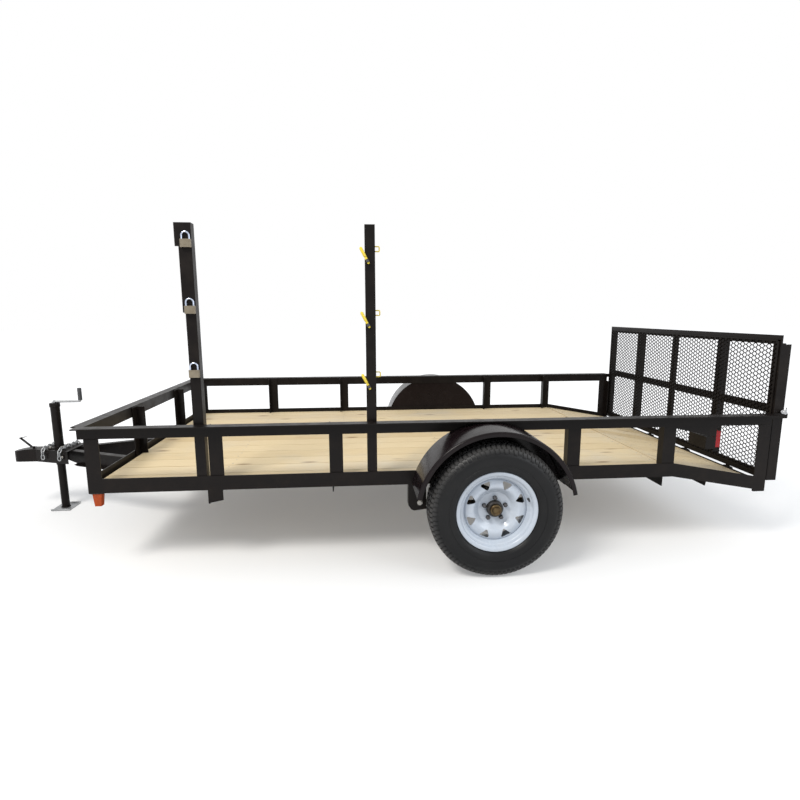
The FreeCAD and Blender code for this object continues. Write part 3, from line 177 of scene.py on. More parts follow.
def pine(name):
    """Pale treated pine: a tone for each plank, long grain, knots, and weathered patches."""
    m = Nodes(name)
    split = m.add("ShaderNodeSeparateXYZ", Vector=m.place)
    # the half puts the joints between planks on whole numbers, and the 20 keeps them positive
    row = m.number("FLOOR", m.number("ADD", m.number("DIVIDE", split.outputs["Y"], PLANK_PITCH), 20.5))
    own = m.add("ShaderNodeTexWhiteNoise", noise_dimensions="1D", W=row)
    # each plank takes its grain from its own place in the pattern
    moved = m.vector("ADD", m.place, m.vector("SCALE", own.outputs["Color"], Scale=9.0))
    bend = m.pattern("Noise", m.scaled((1.1, 6.0, 6.0), moved), "Color", Scale=1.0, Detail=3)
    waved = m.vector("ADD", m.scaled((0.5, 11.0, 11.0), moved), m.vector("SCALE", bend, Scale=0.75))
    grain = m.pattern("Wave", waved, wave_type="BANDS", bands_direction="Y", Scale=2.1, Distortion=3.2,
                      Detail=4.0, Detail_Scale=1.6)
    fibre = m.pattern("Noise", m.scaled((9.0, 260.0, 260.0), moved), Scale=1.0, Detail=9, Roughness=0.7)
    knots = m.pattern("Voronoi", m.scaled((2.4, 7.5, 1.0), moved), "Distance", feature="F1", Scale=1.0)
    tone = m.ramp(own.outputs["Value"], [(0.0, (0.60, 0.47, 0.27)), (0.3, (0.70, 0.57, 0.35)),
                                         (0.65, (0.78, 0.66, 0.44)), (1.0, (0.66, 0.54, 0.35))])
    tone = m.mix(tone, (0.47, 0.33, 0.16), m.spread(grain, 0.0, 0.7, 0.25, 1.0))
    tone = m.mix(tone, (0.33, 0.22, 0.11), m.spread(fibre, 0.0, 0.35, 0.5, 0.8))
    tone = m.mix(tone, (0.22, 0.12, 0.05), m.spread(knots, 1.0, 0.0, 0.05, 0.15))
    m.set(Base_Color=m.mix(tone, (0.52, 0.49, 0.42), m.spread(m.noise(2.2, 6, 0.6), 0.0, 0.45, 0.5, 0.75)),
          Roughness=m.spread(fibre, 0.55, 0.8))
    m.bump(fibre, 0.35, 0.0012)
    m.bump(grain, 0.18, 0.0015)
    return m.material


def rubber(name):
    """Tyre rubber: dark flanks and a dusty tread, told apart by the distance from the axle."""
    m = Nodes(name)
    patches = m.noise(9.0, 8, 0.65)
    dust = m.spread(patches, 0.0, 0.4, 0.45, 0.75)
    away = m.vector("DISTANCE", m.scaled((1, 0, 1)), (AXLE.x, 0, AXLE.z), output="Value")
    dusty = m.mix((0.042, 0.041, 0.041), (0.074, 0.071, 0.068), dust)
    plain = m.mix((0.0050, 0.0052, 0.0058), (0.0135, 0.013, 0.0128), dust)
    m.set(Base_Color=m.mix(plain, dusty, m.spread(away, 0.0, 1.0, 0.306, 0.332)),
          Roughness=m.spread(patches, 0.30, 0.50), Specular_IOR_Level=0.22)
    m.bump(m.noise(700.0, 3), 0.25, 0.0008)
    return m.material


def galvanised(name):
    """Zinc: spangles, dull white patches and a little rust in the hollows."""
    m = Nodes(name)
    flakes = m.pattern("Voronoi", m.place, "Color", feature="F1", Scale=190.0)
    patches = m.noise(22.0, 7, 0.6)
    grey = m.add("ShaderNodeRGBToBW", Color=flakes)
    tone = m.mix((0.40, 0.41, 0.42), (0.22, 0.225, 0.23), m.spread(grey.outputs["Val"], 0.0, 0.8))
    tone = m.mix(tone, (0.52, 0.53, 0.54), m.spread(patches, 0.0, 0.5, 0.5, 0.7))
    tone = m.mix(tone, (0.26, 0.12, 0.05), m.spread(m.noise(60.0, 8, 0.7), 0.0, 0.6, 0.66, 0.74))
    m.set(Base_Color=tone, Roughness=m.spread(patches, 0.32, 0.62), Metallic=0.85)
    m.bump(patches, 0.2, 0.001)
    return m.material


def metal(name, base, dull, rough, spots):
    """Bare or plated metal: fine brushing and duller spots."""
    m = Nodes(name)
    patches = m.noise(55.0, 8, 0.6)
    m.set(Base_Color=m.mix(base, dull, m.spread(patches, 0.0, spots, 0.4, 0.75)),
          Roughness=m.spread(patches, rough, rough + 0.2), Metallic=1.0)
    m.bump(m.noise(240.0, 4, 0.6, (1, 1, 0.06)), 0.12, 0.0005)
    return m.material


def steel_dark(name):
    """Dark spring steel with brown rust in patches."""
    m = Nodes(name)
    patches = m.noise(30.0, 9, 0.7)
    tone = m.mix((0.035, 0.034, 0.034), (0.12, 0.065, 0.035), m.spread(patches, 0.0, 0.8, 0.52, 0.7))
    m.set(Base_Color=tone, Roughness=m.spread(patches, 0.42, 0.75), Metallic=0.5)
    m.bump(patches, 0.3, 0.001)
    return m.material


def lens(name, colour, deep):
    """Moulded lamp plastic: clear skin over a coloured body with a fine prism pattern, and a faint painted
    glow in its own colour.
    """
    m = Nodes(name)
    cells = m.pattern("Voronoi", m.place, "Distance", feature="DISTANCE_TO_EDGE", Scale=330.0)
    # the faint emission in the lens colour is a painted glow, as of daylight shining through the unlit lens
    m.set(Base_Color=m.mix(deep, colour, m.spread(cells, 0.0, 1.0, 0.0, 0.2)), Roughness=0.14, IOR=1.49,
          Coat_Weight=0.12, Coat_Roughness=0.05, Specular_IOR_Level=0.22,
          Emission_Color=(*colour, 1), Emission_Strength=0.05)
    m.bump(cells, 0.25, 0.001)
    return m.material


def plastic(name, base, rough):
    """Moulded plastic with a fine grain and slightly chalky patches."""
    m = Nodes(name)
    patches = m.noise(18.0, 7, 0.6)
    m.set(Base_Color=m.mix(base, tuple(c + 0.05 for c in base), m.spread(patches, 0.0, 1.0, 0.4, 0.8)),
          Roughness=m.spread(patches, rough, rough + 0.2))
    m.bump(m.noise(500.0, 4), 0.25, 0.0005)
    return m.material


LOOK = {
    "frame_black": painted("frame_paint", (0.0045, 0.0040, 0.0042), (0.0085, 0.006, 0.005), 0.30, 0.04,
                           peel=0.12, dust=(0.20, 0.15, 0.11), dusty=0.03, sheen=0.10),
    "fender_black": painted("fender_paint", (0.0035, 0.0024, 0.0030), (0.008, 0.0045, 0.0052), 0.17, 0.12,
                            peel=0.06, dust=(0.22, 0.17, 0.14), dusty=0.015, sheen=0.10),
    "deck_pine": pine("deck_wood"),
    # the white wheel paint is tinted blue-grey in both its tones: a painted sky reflection
    "wheel_white": painted("wheel_paint_sky_tint", (0.49, 0.54, 0.61), (0.41, 0.46, 0.53), 0.2, 0.5,
                           peel=0.05, dust=(0.40, 0.36, 0.30), dusty=0.16),
    "hub_black": painted("hub_paint", (0.007, 0.006, 0.006), (0.016, 0.012, 0.010), 0.35, 0.15, sheen=0.35),
    "tyre_rubber": rubber("tyre_rubber_worn"),
    "zinc": galvanised("zinc_plate"),
    "grip_black": plastic("grip_rubber", (0.020, 0.021, 0.024), 0.5),
    "spring_steel": steel_dark("spring_steel_worn"),
    "lens_red": lens("lens_red_moulded", (0.46, 0.010, 0.016), (0.20, 0.003, 0.006)),
    "lens_amber": lens("lens_amber_moulded", (0.44, 0.065, 0.003), (0.20, 0.020, 0.002)),
    "lamp_black": plastic("lamp_plastic", (0.018, 0.018, 0.019), 0.35),
    "cap_worn": metal("cap_brassy", (0.13, 0.095, 0.05), (0.05, 0.026, 0.013), 0.40, 0.95),
    "nut_dark": metal("nut_dark_steel", (0.10, 0.10, 0.105), (0.05, 0.04, 0.035), 0.34, 0.6),
    "latch_steel": metal("latch_bright", (0.60, 0.61, 0.63), (0.34, 0.34, 0.35), 0.26, 0.5),
    "screw_zinc": metal("screw_head", (0.42, 0.41, 0.39), (0.20, 0.16, 0.12), 0.4, 0.7),
    "lock_brass": metal("brass_worn", (0.27, 0.235, 0.18), (0.13, 0.105, 0.07), 0.30, 0.5),
    # the chrome's blue tint is a painted sky reflection; its duller spots are wear
    "lock_chrome": metal("chrome_worn_sky_tint", (0.52, 0.58, 0.70), (0.30, 0.33, 0.40), 0.12, 0.3),
    "hook_yellow": painted("hook_paint", (0.80, 0.62, 0.03), (0.72, 0.53, 0.03), 0.3, 0.4),
}
# looks of small fittings, and the record's slot that each comes nearest to
RECORD_SLOT = {"cap_worn": "zinc", "nut_dark": "spring_steel", "latch_steel": "zinc", "screw_zinc": "zinc"}


# Mesh helpers

def round_edges(thing, radius, steps, degrees):
    """Rounds the edges that are sharper than an angle."""
    rounding = thing.modifiers.new("edges", "BEVEL")
    rounding.width = radius * MM
    rounding.segments = steps
    rounding.limit_method = "ANGLE"
    rounding.angle_limit = radians(degrees)


def linked(name, data):
    thing = bpy.data.objects.new(name, data)
    bpy.context.scene.collection.objects.link(thing)
    return thing


def as_object(name, bm):
    data = bpy.data.meshes.new(name)
    bm.to_mesh(data)
    bm.free()
    return linked(name, data)


def piece(name, bm, slot, nodes=(), body="chassis", smooth=35, bevel=0.0, steps=2):
    """Turns a mesh into a piece that rides on a body, with its look and its rounded edges.

    Smooth shading stops at edges that are sharper than so many degrees.
    """
    bmesh.ops.recalc_face_normals(bm, faces=bm.faces)
    if smooth:
        bm.normal_update()
        for face in bm.faces:
            face.smooth = True
        for edge in bm.edges:
            if len(edge.link_faces) == 2:
                edge.smooth = edge.calc_face_angle(0) < radians(smooth)
    thing = as_object(name, bm)
    thing.data.materials.append(LOOK[slot])
    if bevel:
        round_edges(thing, bevel, steps, 35)
    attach(thing, body)
    RECORD_SLOT.get(slot, slot)
    if nodes:
        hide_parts(*nodes)


def turns(count, start=0.0, sweep=2 * pi):
    """Angles from a start, in even steps; the full circle stops a step short of its start."""
    return [start + sweep * k / count for k in range(count + (sweep != 2 * pi))]


def about_y(centre, radius, angle, across=0.0):
    """A point on a circle round a line along Y, and a way along that line."""
    return Vector(centre) + Vector((radius * cos(angle), across, radius * sin(angle))) * MM


def add_box(bm, low, high):
    corners = [bm.verts.new((x, y, z)) for x in (low[0], high[0]) for y in (low[1], high[1])
               for z in (low[2], high[2])]
    for quad in ((0, 1, 3, 2), (4, 6, 7, 5), (0, 4, 5, 1), (2, 3, 7, 6), (0, 2, 6, 4), (1, 5, 7, 3)):
        bm.faces.new([corners[i] for i in quad])


def add_prism(bm, points, direction):
    """A closed outline in space, pushed along a direction."""
    near = [bm.verts.new(point) for point in points]
    far = [bm.verts.new(Vector(point) + Vector(direction)) for point in points]
    bm.faces.new(near)
    bm.faces.new(far[::-1])
    join_rings(bm, [near, far])


def axes_of(way):
    """A direction and two more at right angles to it."""
    way = Vector(way).normalized()
    side = way.cross(Vector((0, 0, 1)))
    if side.length < 0.1:
        side = way.cross(Vector((1, 0, 0)))
    side.normalize()
    return way, side, way.cross(side)


def add_ring(bm, at, side, other, radius, sides):
    return [bm.verts.new(at + (side * cos(a) + other * sin(a)) * (radius * MM)) for a in turns(sides)]


def join_rings(bm, rings, closed=False):
    """Faces between each ring of corners and the next; a ring of one corner is a tip."""
    for a, b in zip(rings, rings[1:] + rings[:closed]):
        count = max(len(a), len(b))
        for k in range(count if count > 1 else 0):
            n = (k + 1) % count
            corners = a[k % len(a)], b[k % len(b)], b[n % len(b)], a[n % len(a)]
            bm.faces.new(list(dict.fromkeys(corners)))


def add_turned(bm, centre, way, profile, sides, closed=False):
    """Turns (along, radius) points about an axis; a point of no radius closes the end."""
    way, side, other = axes_of(way)
    rings = []
    for along, radius in profile:
        at = Vector(centre) + way * (along * MM)
        rings.append(add_ring(bm, at, side, other, radius, sides) if radius else [bm.verts.new(at)])
    join_rings(bm, rings, closed)


def add_wire(bm, points, radius, sides=10, closed=False):
    """A round wire along points, with its section carried smoothly round the bends."""
    points = [Vector(point) for point in points]
    count = len(points)
    rings = []
    side = None
    for i, point in enumerate(points):
        before = points[i] - points[i - 1] if i or closed else points[1] - points[0]
        after = points[(i + 1) % count] - points[i] if i < count - 1 or closed else before
        way = (before.normalized() + after.normalized()).normalized()
        if side is None:
            side = axes_of(way)[1]
        side = (side - way * side.dot(way)).normalized()
        other = way.cross(side)
        rings.append(add_ring(bm, point, side, other, radius, sides))
    join_rings(bm, rings, closed)
    if not closed:
        bm.faces.new(rings[0][::-1])
        bm.faces.new(rings[-1])


def add_hex(bm, centre, way, radius, length, washer=0.0):
    """A hexagon head with a chamfered crown, on a washer if it has one."""
    base, thick = Vector(centre), 1.8
    if washer:
        add_turned(bm, base, way, [(0, 0), (0, washer), (thick, washer), (thick, 0)], 20)
        base += Vector(way).normalized() * (thick * MM)
    add_turned(bm, base, way, [(0, 0), (0, radius), (length * 0.82, radius), (length, radius * 0.86),
                               (length, 0)], 6)


def turned_piece(name, slot, centre, way, profile, sides, **rest):
    bm = bmesh.new()
    add_turned(bm, centre, way, profile, sides)
    piece(name, bm, slot, **rest)


def rounded(corners, radius, steps=5):
    """The corners of a closed outline, each rounded to a radius in the same unit."""
    points = []
    count = len(corners)
    for i in range(count):
        here = Vector(corners[i])
        before = (Vector(corners[i - 1]) - here).normalized()
        after = (Vector(corners[(i + 1) % count]) - here).normalized()
        half = before.angle(after) / 2
        reach = radius / tan(half)
        start, end = here + before * reach, here + after * reach
        centre = here + (before + after).normalized() * (radius / sin(half))
        a0, a1 = (start - centre), (end - centre)
        turn = a0.angle(a1)
        for k in range(steps + 1):
            share = k / steps
            points.append(tuple(centre + (a0 * sin((1 - share) * turn) + a1 * sin(share * turn))
                                / sin(turn)))
    return points


def slab(bm, low, high, radius, steps):
    """An upright plate between two corners, with its four upright edges rounded."""
    corners = [(low[0], low[1]), (high[0], low[1]), (high[0], high[1]), (low[0], high[1])]
    plan = rounded(corners, radius * MM, steps)
    add_prism(bm, [(x, y, low[2]) for x, y in plan], (0, 0, high[2] - low[2]))


def islands(thing):
    """The separate solids of a node, each as its list of corner points."""
    bm = bmesh.new()
    bm.from_mesh(thing.data)
    bmesh.ops.remove_doubles(bm, verts=bm.verts, dist=1e-6)
    seen, found = set(), []
    for start in bm.verts:
        if start in seen:
            continue
        stack, group = [start], []
        seen.add(start)
        while stack:
            vert = stack.pop()
            group.append(vert.co.copy())
            for edge in vert.link_edges:
                other = edge.other_vert(vert)
                if other not in seen:
                    seen.add(other)
                    stack.append(other)
        found.append(group)
    bm.free()
    return found


def solids(node):
    """The low corner, the high corner and the middle of each solid of a node."""
    for points in islands(NODES[node]):
        low, high = (Vector([pick(p[i] for p in points) for i in range(3)]) for pick in (min, max))
        yield low, high, (low + high) / 2


# Camera, light and floor

FRAME_PIXELS = 800
# the camera fitted to the photograph: place, turns in radians, focal length and optical centre in pixels
EYE = Vector((0.0348, 3.6470, 1.3234))
YAW, PITCH, ROLL = -0.08256, 0.16664, 0.00287
FOCAL_PIXELS, CENTRE_PIXELS = 522.71, (400.13, 401.3)


def camera():
    def turned(a, b, angle):
        return cos(angle) * a + sin(angle) * b, -sin(angle) * a + cos(angle) * b

    right, ahead = turned(Vector((-1, 0, 0)), Vector((0, -1, 0)), YAW)
    ahead, down = turned(ahead, Vector((0, 0, -1)), PITCH)
    right, down = turned(right, down, ROLL)
    data = bpy.data.cameras.new("view")
    thing = linked("view", data)
    turn = Matrix((right, -down, -ahead)).transposed()
    thing.matrix_world = Matrix.Translation(EYE) @ turn.to_4x4()
    data.lens = FOCAL_PIXELS / FRAME_PIXELS * data.sensor_width
    data.clip_start, data.clip_end = 0.05, 200.0
    data.shift_x = (FRAME_PIXELS / 2 - CENTRE_PIXELS[0]) / FRAME_PIXELS
    data.shift_y = (CENTRE_PIXELS[1] - FRAME_PIXELS / 2) / FRAME_PIXELS
    bpy.context.scene.camera = thing


def area(name, place, target, size, power, colour):
    data = bpy.data.lights.new(name, "AREA")
    data.shape = "RECTANGLE"
    data.size, data.size_y = size
    data.energy = power
    data.color = colour
    thing = linked(name, data)
    thing.location = place
    thing.rotation_mode = "QUATERNION"
    thing.rotation_quaternion = (Vector(target) - Vector(place)).to_track_quat("-Z", "Y")


def seen_rays(tree):
    """One for rays that show the background: from the camera, off gloss and through glass."""
    path = tree.nodes.new("ShaderNodeLightPath")
    total = path.outputs["Is Camera Ray"]
    for name in ("Is Glossy Ray", "Is Transmission Ray"):
        larger = tree.nodes.new("ShaderNodeMath")
        larger.operation = "MAXIMUM"
        tree.links.new(total, larger.inputs[0])
        tree.links.new(path.outputs[name], larger.inputs[1])
        total = larger.outputs["Value"]
    return total


def surroundings():
    scene = bpy.context.scene
    scene.view_settings.view_transform = "Standard"
    world = bpy.data.worlds.new("day")
    scene.world = world
    world.use_nodes = True
    tree = world.node_tree
    tree.nodes.clear()
    out = tree.nodes.new("ShaderNodeOutputWorld")
    choose = tree.nodes.new("ShaderNodeMixShader")
    tree.links.new(seen_rays(tree), choose.inputs["Fac"])
    # the light that falls on the trailer, and the white that is seen
    for place, colour, strength in ((1, (0.93, 0.96, 1.0, 1), 0.72), (2, (1, 1, 1, 1), 1.0)):
        back = tree.nodes.new("ShaderNodeBackground")
        back.inputs["Color"].default_value = colour
        back.inputs["Strength"].default_value = strength
        tree.links.new(back.outputs["Background"], choose.inputs[place])
    tree.links.new(choose.outputs["Shader"], out.inputs["Surface"])
    bm = bmesh.new()
    reach = 40.0
    bm.faces.new([bm.verts.new((x * reach, y * reach, 0)) for x, y in ((-1, -1), (1, -1), (1, 1), (-1, 1))])
    floor = as_object("floor", bm)
    paint = Nodes("floor_pale")
    # its own white grows away from the trailer, so that the shadow stays, and lights nothing
    away = paint.vector("LENGTH", paint.scaled((1 / 2.6, 1 / 1.5, 1.0)), output="Value")
    glow = paint.number("MULTIPLY", paint.spread(away, 0.16, 0.62, 0.5, 2.0), seen_rays(paint.tree))
    paint.set(Base_Color=paint.mix((0.60, 0.60, 0.60), (0.63, 0.63, 0.63), paint.noise(0.8, 3)),
              Roughness=0.9, Emission_Color=(1, 1, 1, 1), Emission_Strength=glow)
    floor.data.materials.append(paint.material)
    area("key", (3.2, 4.2, 6.0), (0, 0, 0.4), (2.2, 2.2), 430, (1.0, 0.97, 0.92))
    area("fill", (-4.5, 3.5, 3.0), (0, 0, 0.5), (3.5, 3.0), 90, (0.92, 0.96, 1.0))


# Wheels

# the tread's outer skin: distance from the wheel's middle, and radius
CROWN = ((0.0, 344.0), (38.0, 343.2), (62.0, 340.5), (78.0, 334.5), (88.0, 325.0), (96.5, 311.0),
         (101.0, 297.0))
TREAD_DEPTH = 7.5


def add_block(bm, centre, spans, stations, taper):
    """One tread block: between two angles at each station across the tyre, with a smaller top."""
    rows = []
    for (first, last), y in zip(spans, stations):
        top = float(numpy.interp(abs(y), *zip(*CROWN)))
        low = top - TREAD_DEPTH - 1.0
        middle, half = (first + last) / 2, (last - first) / 2
        corners = ((low, -half), (top, -half * taper), (top, half * taper), (low, half))
        rows.append([bm.verts.new(about_y(centre, radius, middle + turn, y)) for radius, turn in corners])
    for a, b in zip(rows, rows[1:]):
        for k in range(3):
            bm.faces.new((a[k], a[k + 1], b[k + 1], b[k]))
    bm.faces.new(rows[0][::-1])
    bm.faces.new(rows[-1])


def tyre(side, centre):
    flank = [(101.6, 290), (102.5, 276), (101.5, 262), (99.6, 252), (99.2, 250.4), (97.9, 250.0),
             (97.4, 247.6), (98.2, 246.6), (96.2, 238), (92.6, 228), (88.0, 220), (86.6, 218.6),
             (85.4, 218.4), (83.0, 214.6), (78.0, 210.6), (72.6, 208.6), (72.0, 204), (72.0, 190.0)]
    base = [(y, r - TREAD_DEPTH) for y, r in CROWN[:5]] + [(94.0, 313.0 - TREAD_DEPTH), (98.0, 300.0)]
    half = base[1:] + flank
    bm = bmesh.new()
    profile = [(-y, r) for y, r in reversed(half)] + base[:1] + half
    add_turned(bm, centre, (0, 1, 0), profile, 144, closed=True)
    count = 84
    step = 2 * pi / count
    for i in range(count):
        blocks = []
        # shoulder blocks run down onto the flank, every other one further
        last = 97.0 if i % 2 else 93.5
        for way, start in ((-1, i), (1, i + 0.5)):
            blocks += [
                (start, [(0.04 * k, 0.74 + 0.03 * k) for k in range(3)],
                 [way * y for y in (63.5, 74.0, 82.0)], 0.9),
                (start, [(0.42 + 0.04 * k, 1.16 + 0.03 * k) for k in range(3)],
                 [way * y for y in (84.6, 90.0, last)], 0.9),
                # second row, cut at a slant
                (start, [(0.30, 1.06), (0.08, 0.86)], [way * 33.0, way * 58.0], 0.88)]
        # the zigzag beside the middle
        blocks += [(i, [(0.10, 0.82), (0.30, 1.02)], [-27.0, -2.2], 0.88),
                   (i, [(0.40, 1.12), (0.20, 0.92)], [2.2, 27.0], 0.88)]
        for start, shares, stations, taper in blocks:
            spans = [((start + a) * step, (start + b) * step) for a, b in shares]
            add_block(bm, centre, spans, stations, taper)
    piece("tyre_tread_" + side, bm, "tyre_rubber", ["tyre_" + side], "wheel_" + side, smooth=32)


def cut_disc(profile, hole, count):
    """A turned disc with holes: the cuts are made once, and the result is a plain mesh."""
    disc, tools = bmesh.new(), bmesh.new()
    add_turned(disc, (0, 0, 0), (0, 1, 0), profile, 160, closed=True)
    for angle in turns(count, pi / count):
        add_prism(tools, [about_y(about_y((0, 0, 0), r, angle, -50), across, angle + pi / 2)
                          for r, across in hole], (0, 200 * MM, 0))
    things = []
    for name, bm in (("disc_work", disc), ("disc_knife", tools)):
        bmesh.ops.recalc_face_normals(bm, faces=bm.faces)
        things.append(as_object(name, bm))
    cut = things[0].modifiers.new("holes", "BOOLEAN")
    cut.operation = "DIFFERENCE"
    cut.solver = "EXACT"
    cut.object = things[1]
    bpy.context.view_layer.update()
    graph = bpy.context.evaluated_depsgraph_get()
    result = bpy.data.meshes.new_from_object(things[0].evaluated_get(graph))
    for thing in things:
        data = thing.data
        bpy.data.objects.remove(thing)
        bpy.data.meshes.remove(data)
    return result


def wheel_details():
    # sections of the disc and of the barrel's outer half: distance from the wheel's middle, and radius
    section = [(8, 42), (8, 86), (11, 92), (30, 111), (35, 116), (38, 122), (38.2, 128), (34, 146),
               (29, 155), (20, 160.5), (10, 164.6), (10, 166.6), (15, 166.5), (24, 165.4), (33, 160),
               (38.8, 149), (43.0, 130), (43.2, 121), (40.5, 114), (35.6, 108), (17, 89.5), (14.4, 86.5),
               (13, 83.5), (13, 44), (12.2, 42.6), (11, 42)]
    half = [(34, 162), (37, 162.6), (41, 165.5), (58, 172.5), (61, 174.8), (62.5, 179), (64.0, 183.6),
            (68, 185.6), (72.0, 187.2), (74.6, 191), (76.2, 197), (77.6, 203.5), (77.0, 207),
            (74.6, 208.6), (72.6, 207), (72.4, 203), (71.4, 194.6), (69.0, 191.4), (62.0, 188.4),
            (58, 176.5), (38, 167.6), (34, 166)]
    disc = cut_disc(section, rounded([(106.5, 0.0), (152.0, 31.0), (152.0, -31.0)], 7.0), 8)
    for side, sign in SIDES:
        body = "wheel_" + side
        way = Vector((0, sign, 0))
        centre = Vector((AXLE.x, sign * WHEEL_Y, AXLE.z))
        tyre(side, centre)
        bm = bmesh.new()
        bm.from_mesh(disc)
        add_turned(bm, (0, 0, 0), (0, 1, 0), half + [(-y, r) for y, r in reversed(half)], 144, closed=True)
        # weld beads where the disc meets the barrel
        for start in turns(8, 2 * pi * 0.32 / 8):
            add_wire(bm, [about_y((0, 0, 0), 166.0, start + 0.018 * k, 12.5) for k in range(14)], 2.2, 6)
        bm.transform(Matrix.Translation(centre) @ Matrix.Rotation(0 if sign > 0 else pi, 4, "Z"))
        piece("wheel_rim_" + side, bm, "wheel_white", ["rim_" + side], body, smooth=38)
        # hub: the barrel behind the disc, the flange and the pilot
        turned_piece("hub_body_" + side, "hub_black", centre, way,
                     [(-61, 17.6), (-61, 38), (-4, 38), (-4, 73), (7, 74), (8, 73), (8, 41.5), (28, 41.5),
                      (33, 40.4), (36, 37.5), (37, 33), (37, 30), (33, 29), (33, 0)], 64,
                     nodes=["hub_" + side], body=body)
        turned_piece("grease_cap_" + side, "cap_worn", centre, way,
                     [(33, 29), (46, 29), (49, 28.4), (51, 26.6), (52, 22), (56, 20.4), (62, 19.4),
                      (65.0, 17.4), (65.6, 13), (63.4, 11.4), (63.2, 0)], 48, body=body, smooth=30)
        bm = bmesh.new()
        for angle in turns(5, pi / 2):
            add_turned(bm, about_y(centre, 57.15, angle, sign * 12.6), way,
                       [(0, 0), (0, 9.6), (2.4, 11.2)], 24)
            add_turned(bm, about_y(centre, 57.15, angle, sign * 14.6), way,
                       [(0, 11.2), (0.4, 11.6), (13.0, 11.6), (15.6, 9.8), (17.6, 7.0), (18.2, 3),
                        (18.2, 0)], 6)
        piece("lug_nuts_" + side, bm, "nut_dark", body=body, smooth=25, bevel=0.5)
        angle = radians(160)
        turned_piece("valve_" + side, "grip_black", about_y(centre, 172, angle, sign * 56),
                     (-0.18 * cos(angle), sign, -0.18 * sin(angle)),
                     [(0, 0), (0, 7.4), (3, 7.2), (5, 5.2), (20, 4.0), (21, 4.6), (29, 4.6), (30.5, 3.6),
                      (30.5, 0)],
                     20, body=body)


# Ramp gate

def gate_mesh():
    """Expanded metal: strands that zigzag across the gate and meet in flat bonds."""
    low, high, _ = size_of("gate_mesh_rising")
    back, front = low.x, size_of("gate_mesh_falling")[1].x
    middle = (back + front) / 2
    y0, y1, z0, z1 = low.y, high.y, low.z, high.z
    long_way, short_way = 51 * MM, 25 * MM
    bond, wide, thick, lean = 10 * MM, 4.0 * MM, 1.4 * MM, 0.9 * MM
    bm = bmesh.new()
    for row in range(int((z1 - z0) / (short_way / 2)) + 1):
        z = z0 + row * short_way / 2
        points = []
        y, i = y0 - long_way, 0
        while y < y1 + long_way:
            up = short_way / 4 * (1 if (i + row) % 2 else -1)
            points += [(y - bond / 2, z + up), (y + bond / 2, z + up)]
            y += long_way / 2
            i += 1
        for start, end in zip(points, points[1:]):
            ya, yb = max(start[0], y0), min(end[0], y1)
            if ya >= yb:
                continue
            za, zb = (float(numpy.interp(at, *zip(start, end))) for at in (ya, yb))
            if max(za, zb) > z1 or min(za, zb) < z0:
                continue
            # a strand leans across its thickness, as pressed mesh does
            tilt = lean * (1 if zb > za else -1 if zb < za else 0)
            near, far = ([bm.verts.new((middle + dx * thick + tilt * dz, py, pz + dz * wide / 2))
                          for dx, dz in ((-1, -1), (1, -1), (1, 1), (-1, 1))]
                         for py, pz in ((ya, za), (yb, zb)))
            join_rings(bm, [near, far])
    edge = 8 * MM
    for a0, a1, b0, b1 in ((y0, y1, z0, z0 + edge), (y0, y1, z1 - edge, z1), (y0, y0 + edge, z0, z1),
                           (y1 - edge, y1, z0, z1)):
        add_box(bm, (back, a0, b0), (front, a1, b1))
    piece("gate_expanded_metal", bm, "frame_black", ["gate_mesh_rising", "gate_mesh_falling"], "gate",
          smooth=0)


def gate_details():
    # hinges: round knuckles on straps, lugs with their pins and heads
    knuckle, chamfer, bore, wall = 14, 1.4, 8.6, 10 * MM
    moving, fixed, bm = bmesh.new(), bmesh.new(), bmesh.new()
    for low, high, _ in solids("gate_hinge_knuckles"):
        z, length = low.z + knuckle * MM, (high.y - low.y) / MM
        add_turned(moving, (HINGE_X, low.y, z), (0, 1, 0),
                   [(0, bore), (0, knuckle - chamfer), (chamfer, knuckle), (length - chamfer, knuckle),
                    (length, knuckle - chamfer), (length, bore)], 40, closed=True)
        add_box(moving, (HINGE_X, low.y + 1 * MM, z + 11 * MM), (HINGE_X + 6 * MM, high.y - 1 * MM, high.z))
    for low, high, _ in solids("gate_hinge_lugs"):
        z, length = low.z + knuckle * MM, (high.y - low.y) / MM
        for start in (low.y, high.y - wall):
            outline = [about_y((HINGE_X, start, z), knuckle, a) for a in turns(20, pi / 2, pi)]
            outline += [(high.x, start, low.z), (high.x, start, z + knuckle * MM)]
            add_prism(fixed, outline, (0, wall, 0))
        add_turned(fixed, (HINGE_X, low.y - 2.6 * MM, z), (0, 1, 0),
                   [(0, 0), (0, 6), (0.8, 7.6), (2.6, 8), (length + 2.6, 8), (length + 4.4, 7.6),
                    (length + 5.2, 6), (length + 5.2, 0)], 28)
    piece("hinge_knuckles_round", moving, "frame_black", ["gate_hinge_knuckles"], "gate")
    piece("hinge_lugs_round", fixed, "frame_black", ["gate_hinge_lugs"], bevel=0.8)
    # spring latches on their tabs at the rail ends
    for low, high, mid in solids("gate_latches"):
        sign = 1 if mid.y > 0 else -1
        x, z = mid.x, low.z + 9 * MM
        start = low.y if sign > 0 else high.y
        add_turned(bm, (x, start, z), (0, sign, 0),
                   [(0, 0), (0, 5.5), (3, 5.5), (3, 9), (29, 9), (30.5, 7.6), (30.5, 5.6), (40, 5.6),
                    (40.6, 4.6), (40.6, 0)], 28)
        # the handle's bent end: way along the bolt, and rise
        add_wire(bm, [(x, start + sign * along * MM, z + rise * MM)
                      for along, rise in ((31, 0), (31, 20), (32.5, 25), (36.4, 28))], 4.0, 12)
        for k in range(7):
            coil = [about_y((x, start, z), 9.7, a, sign * (6 + 3.2 * k + 0.5 * a)) for a in turns(20)]
            add_wire(bm, coil, 0.9, 6, closed=True)
    piece("spring_latches", bm, "latch_steel", ["gate_latches"])


# Fenders

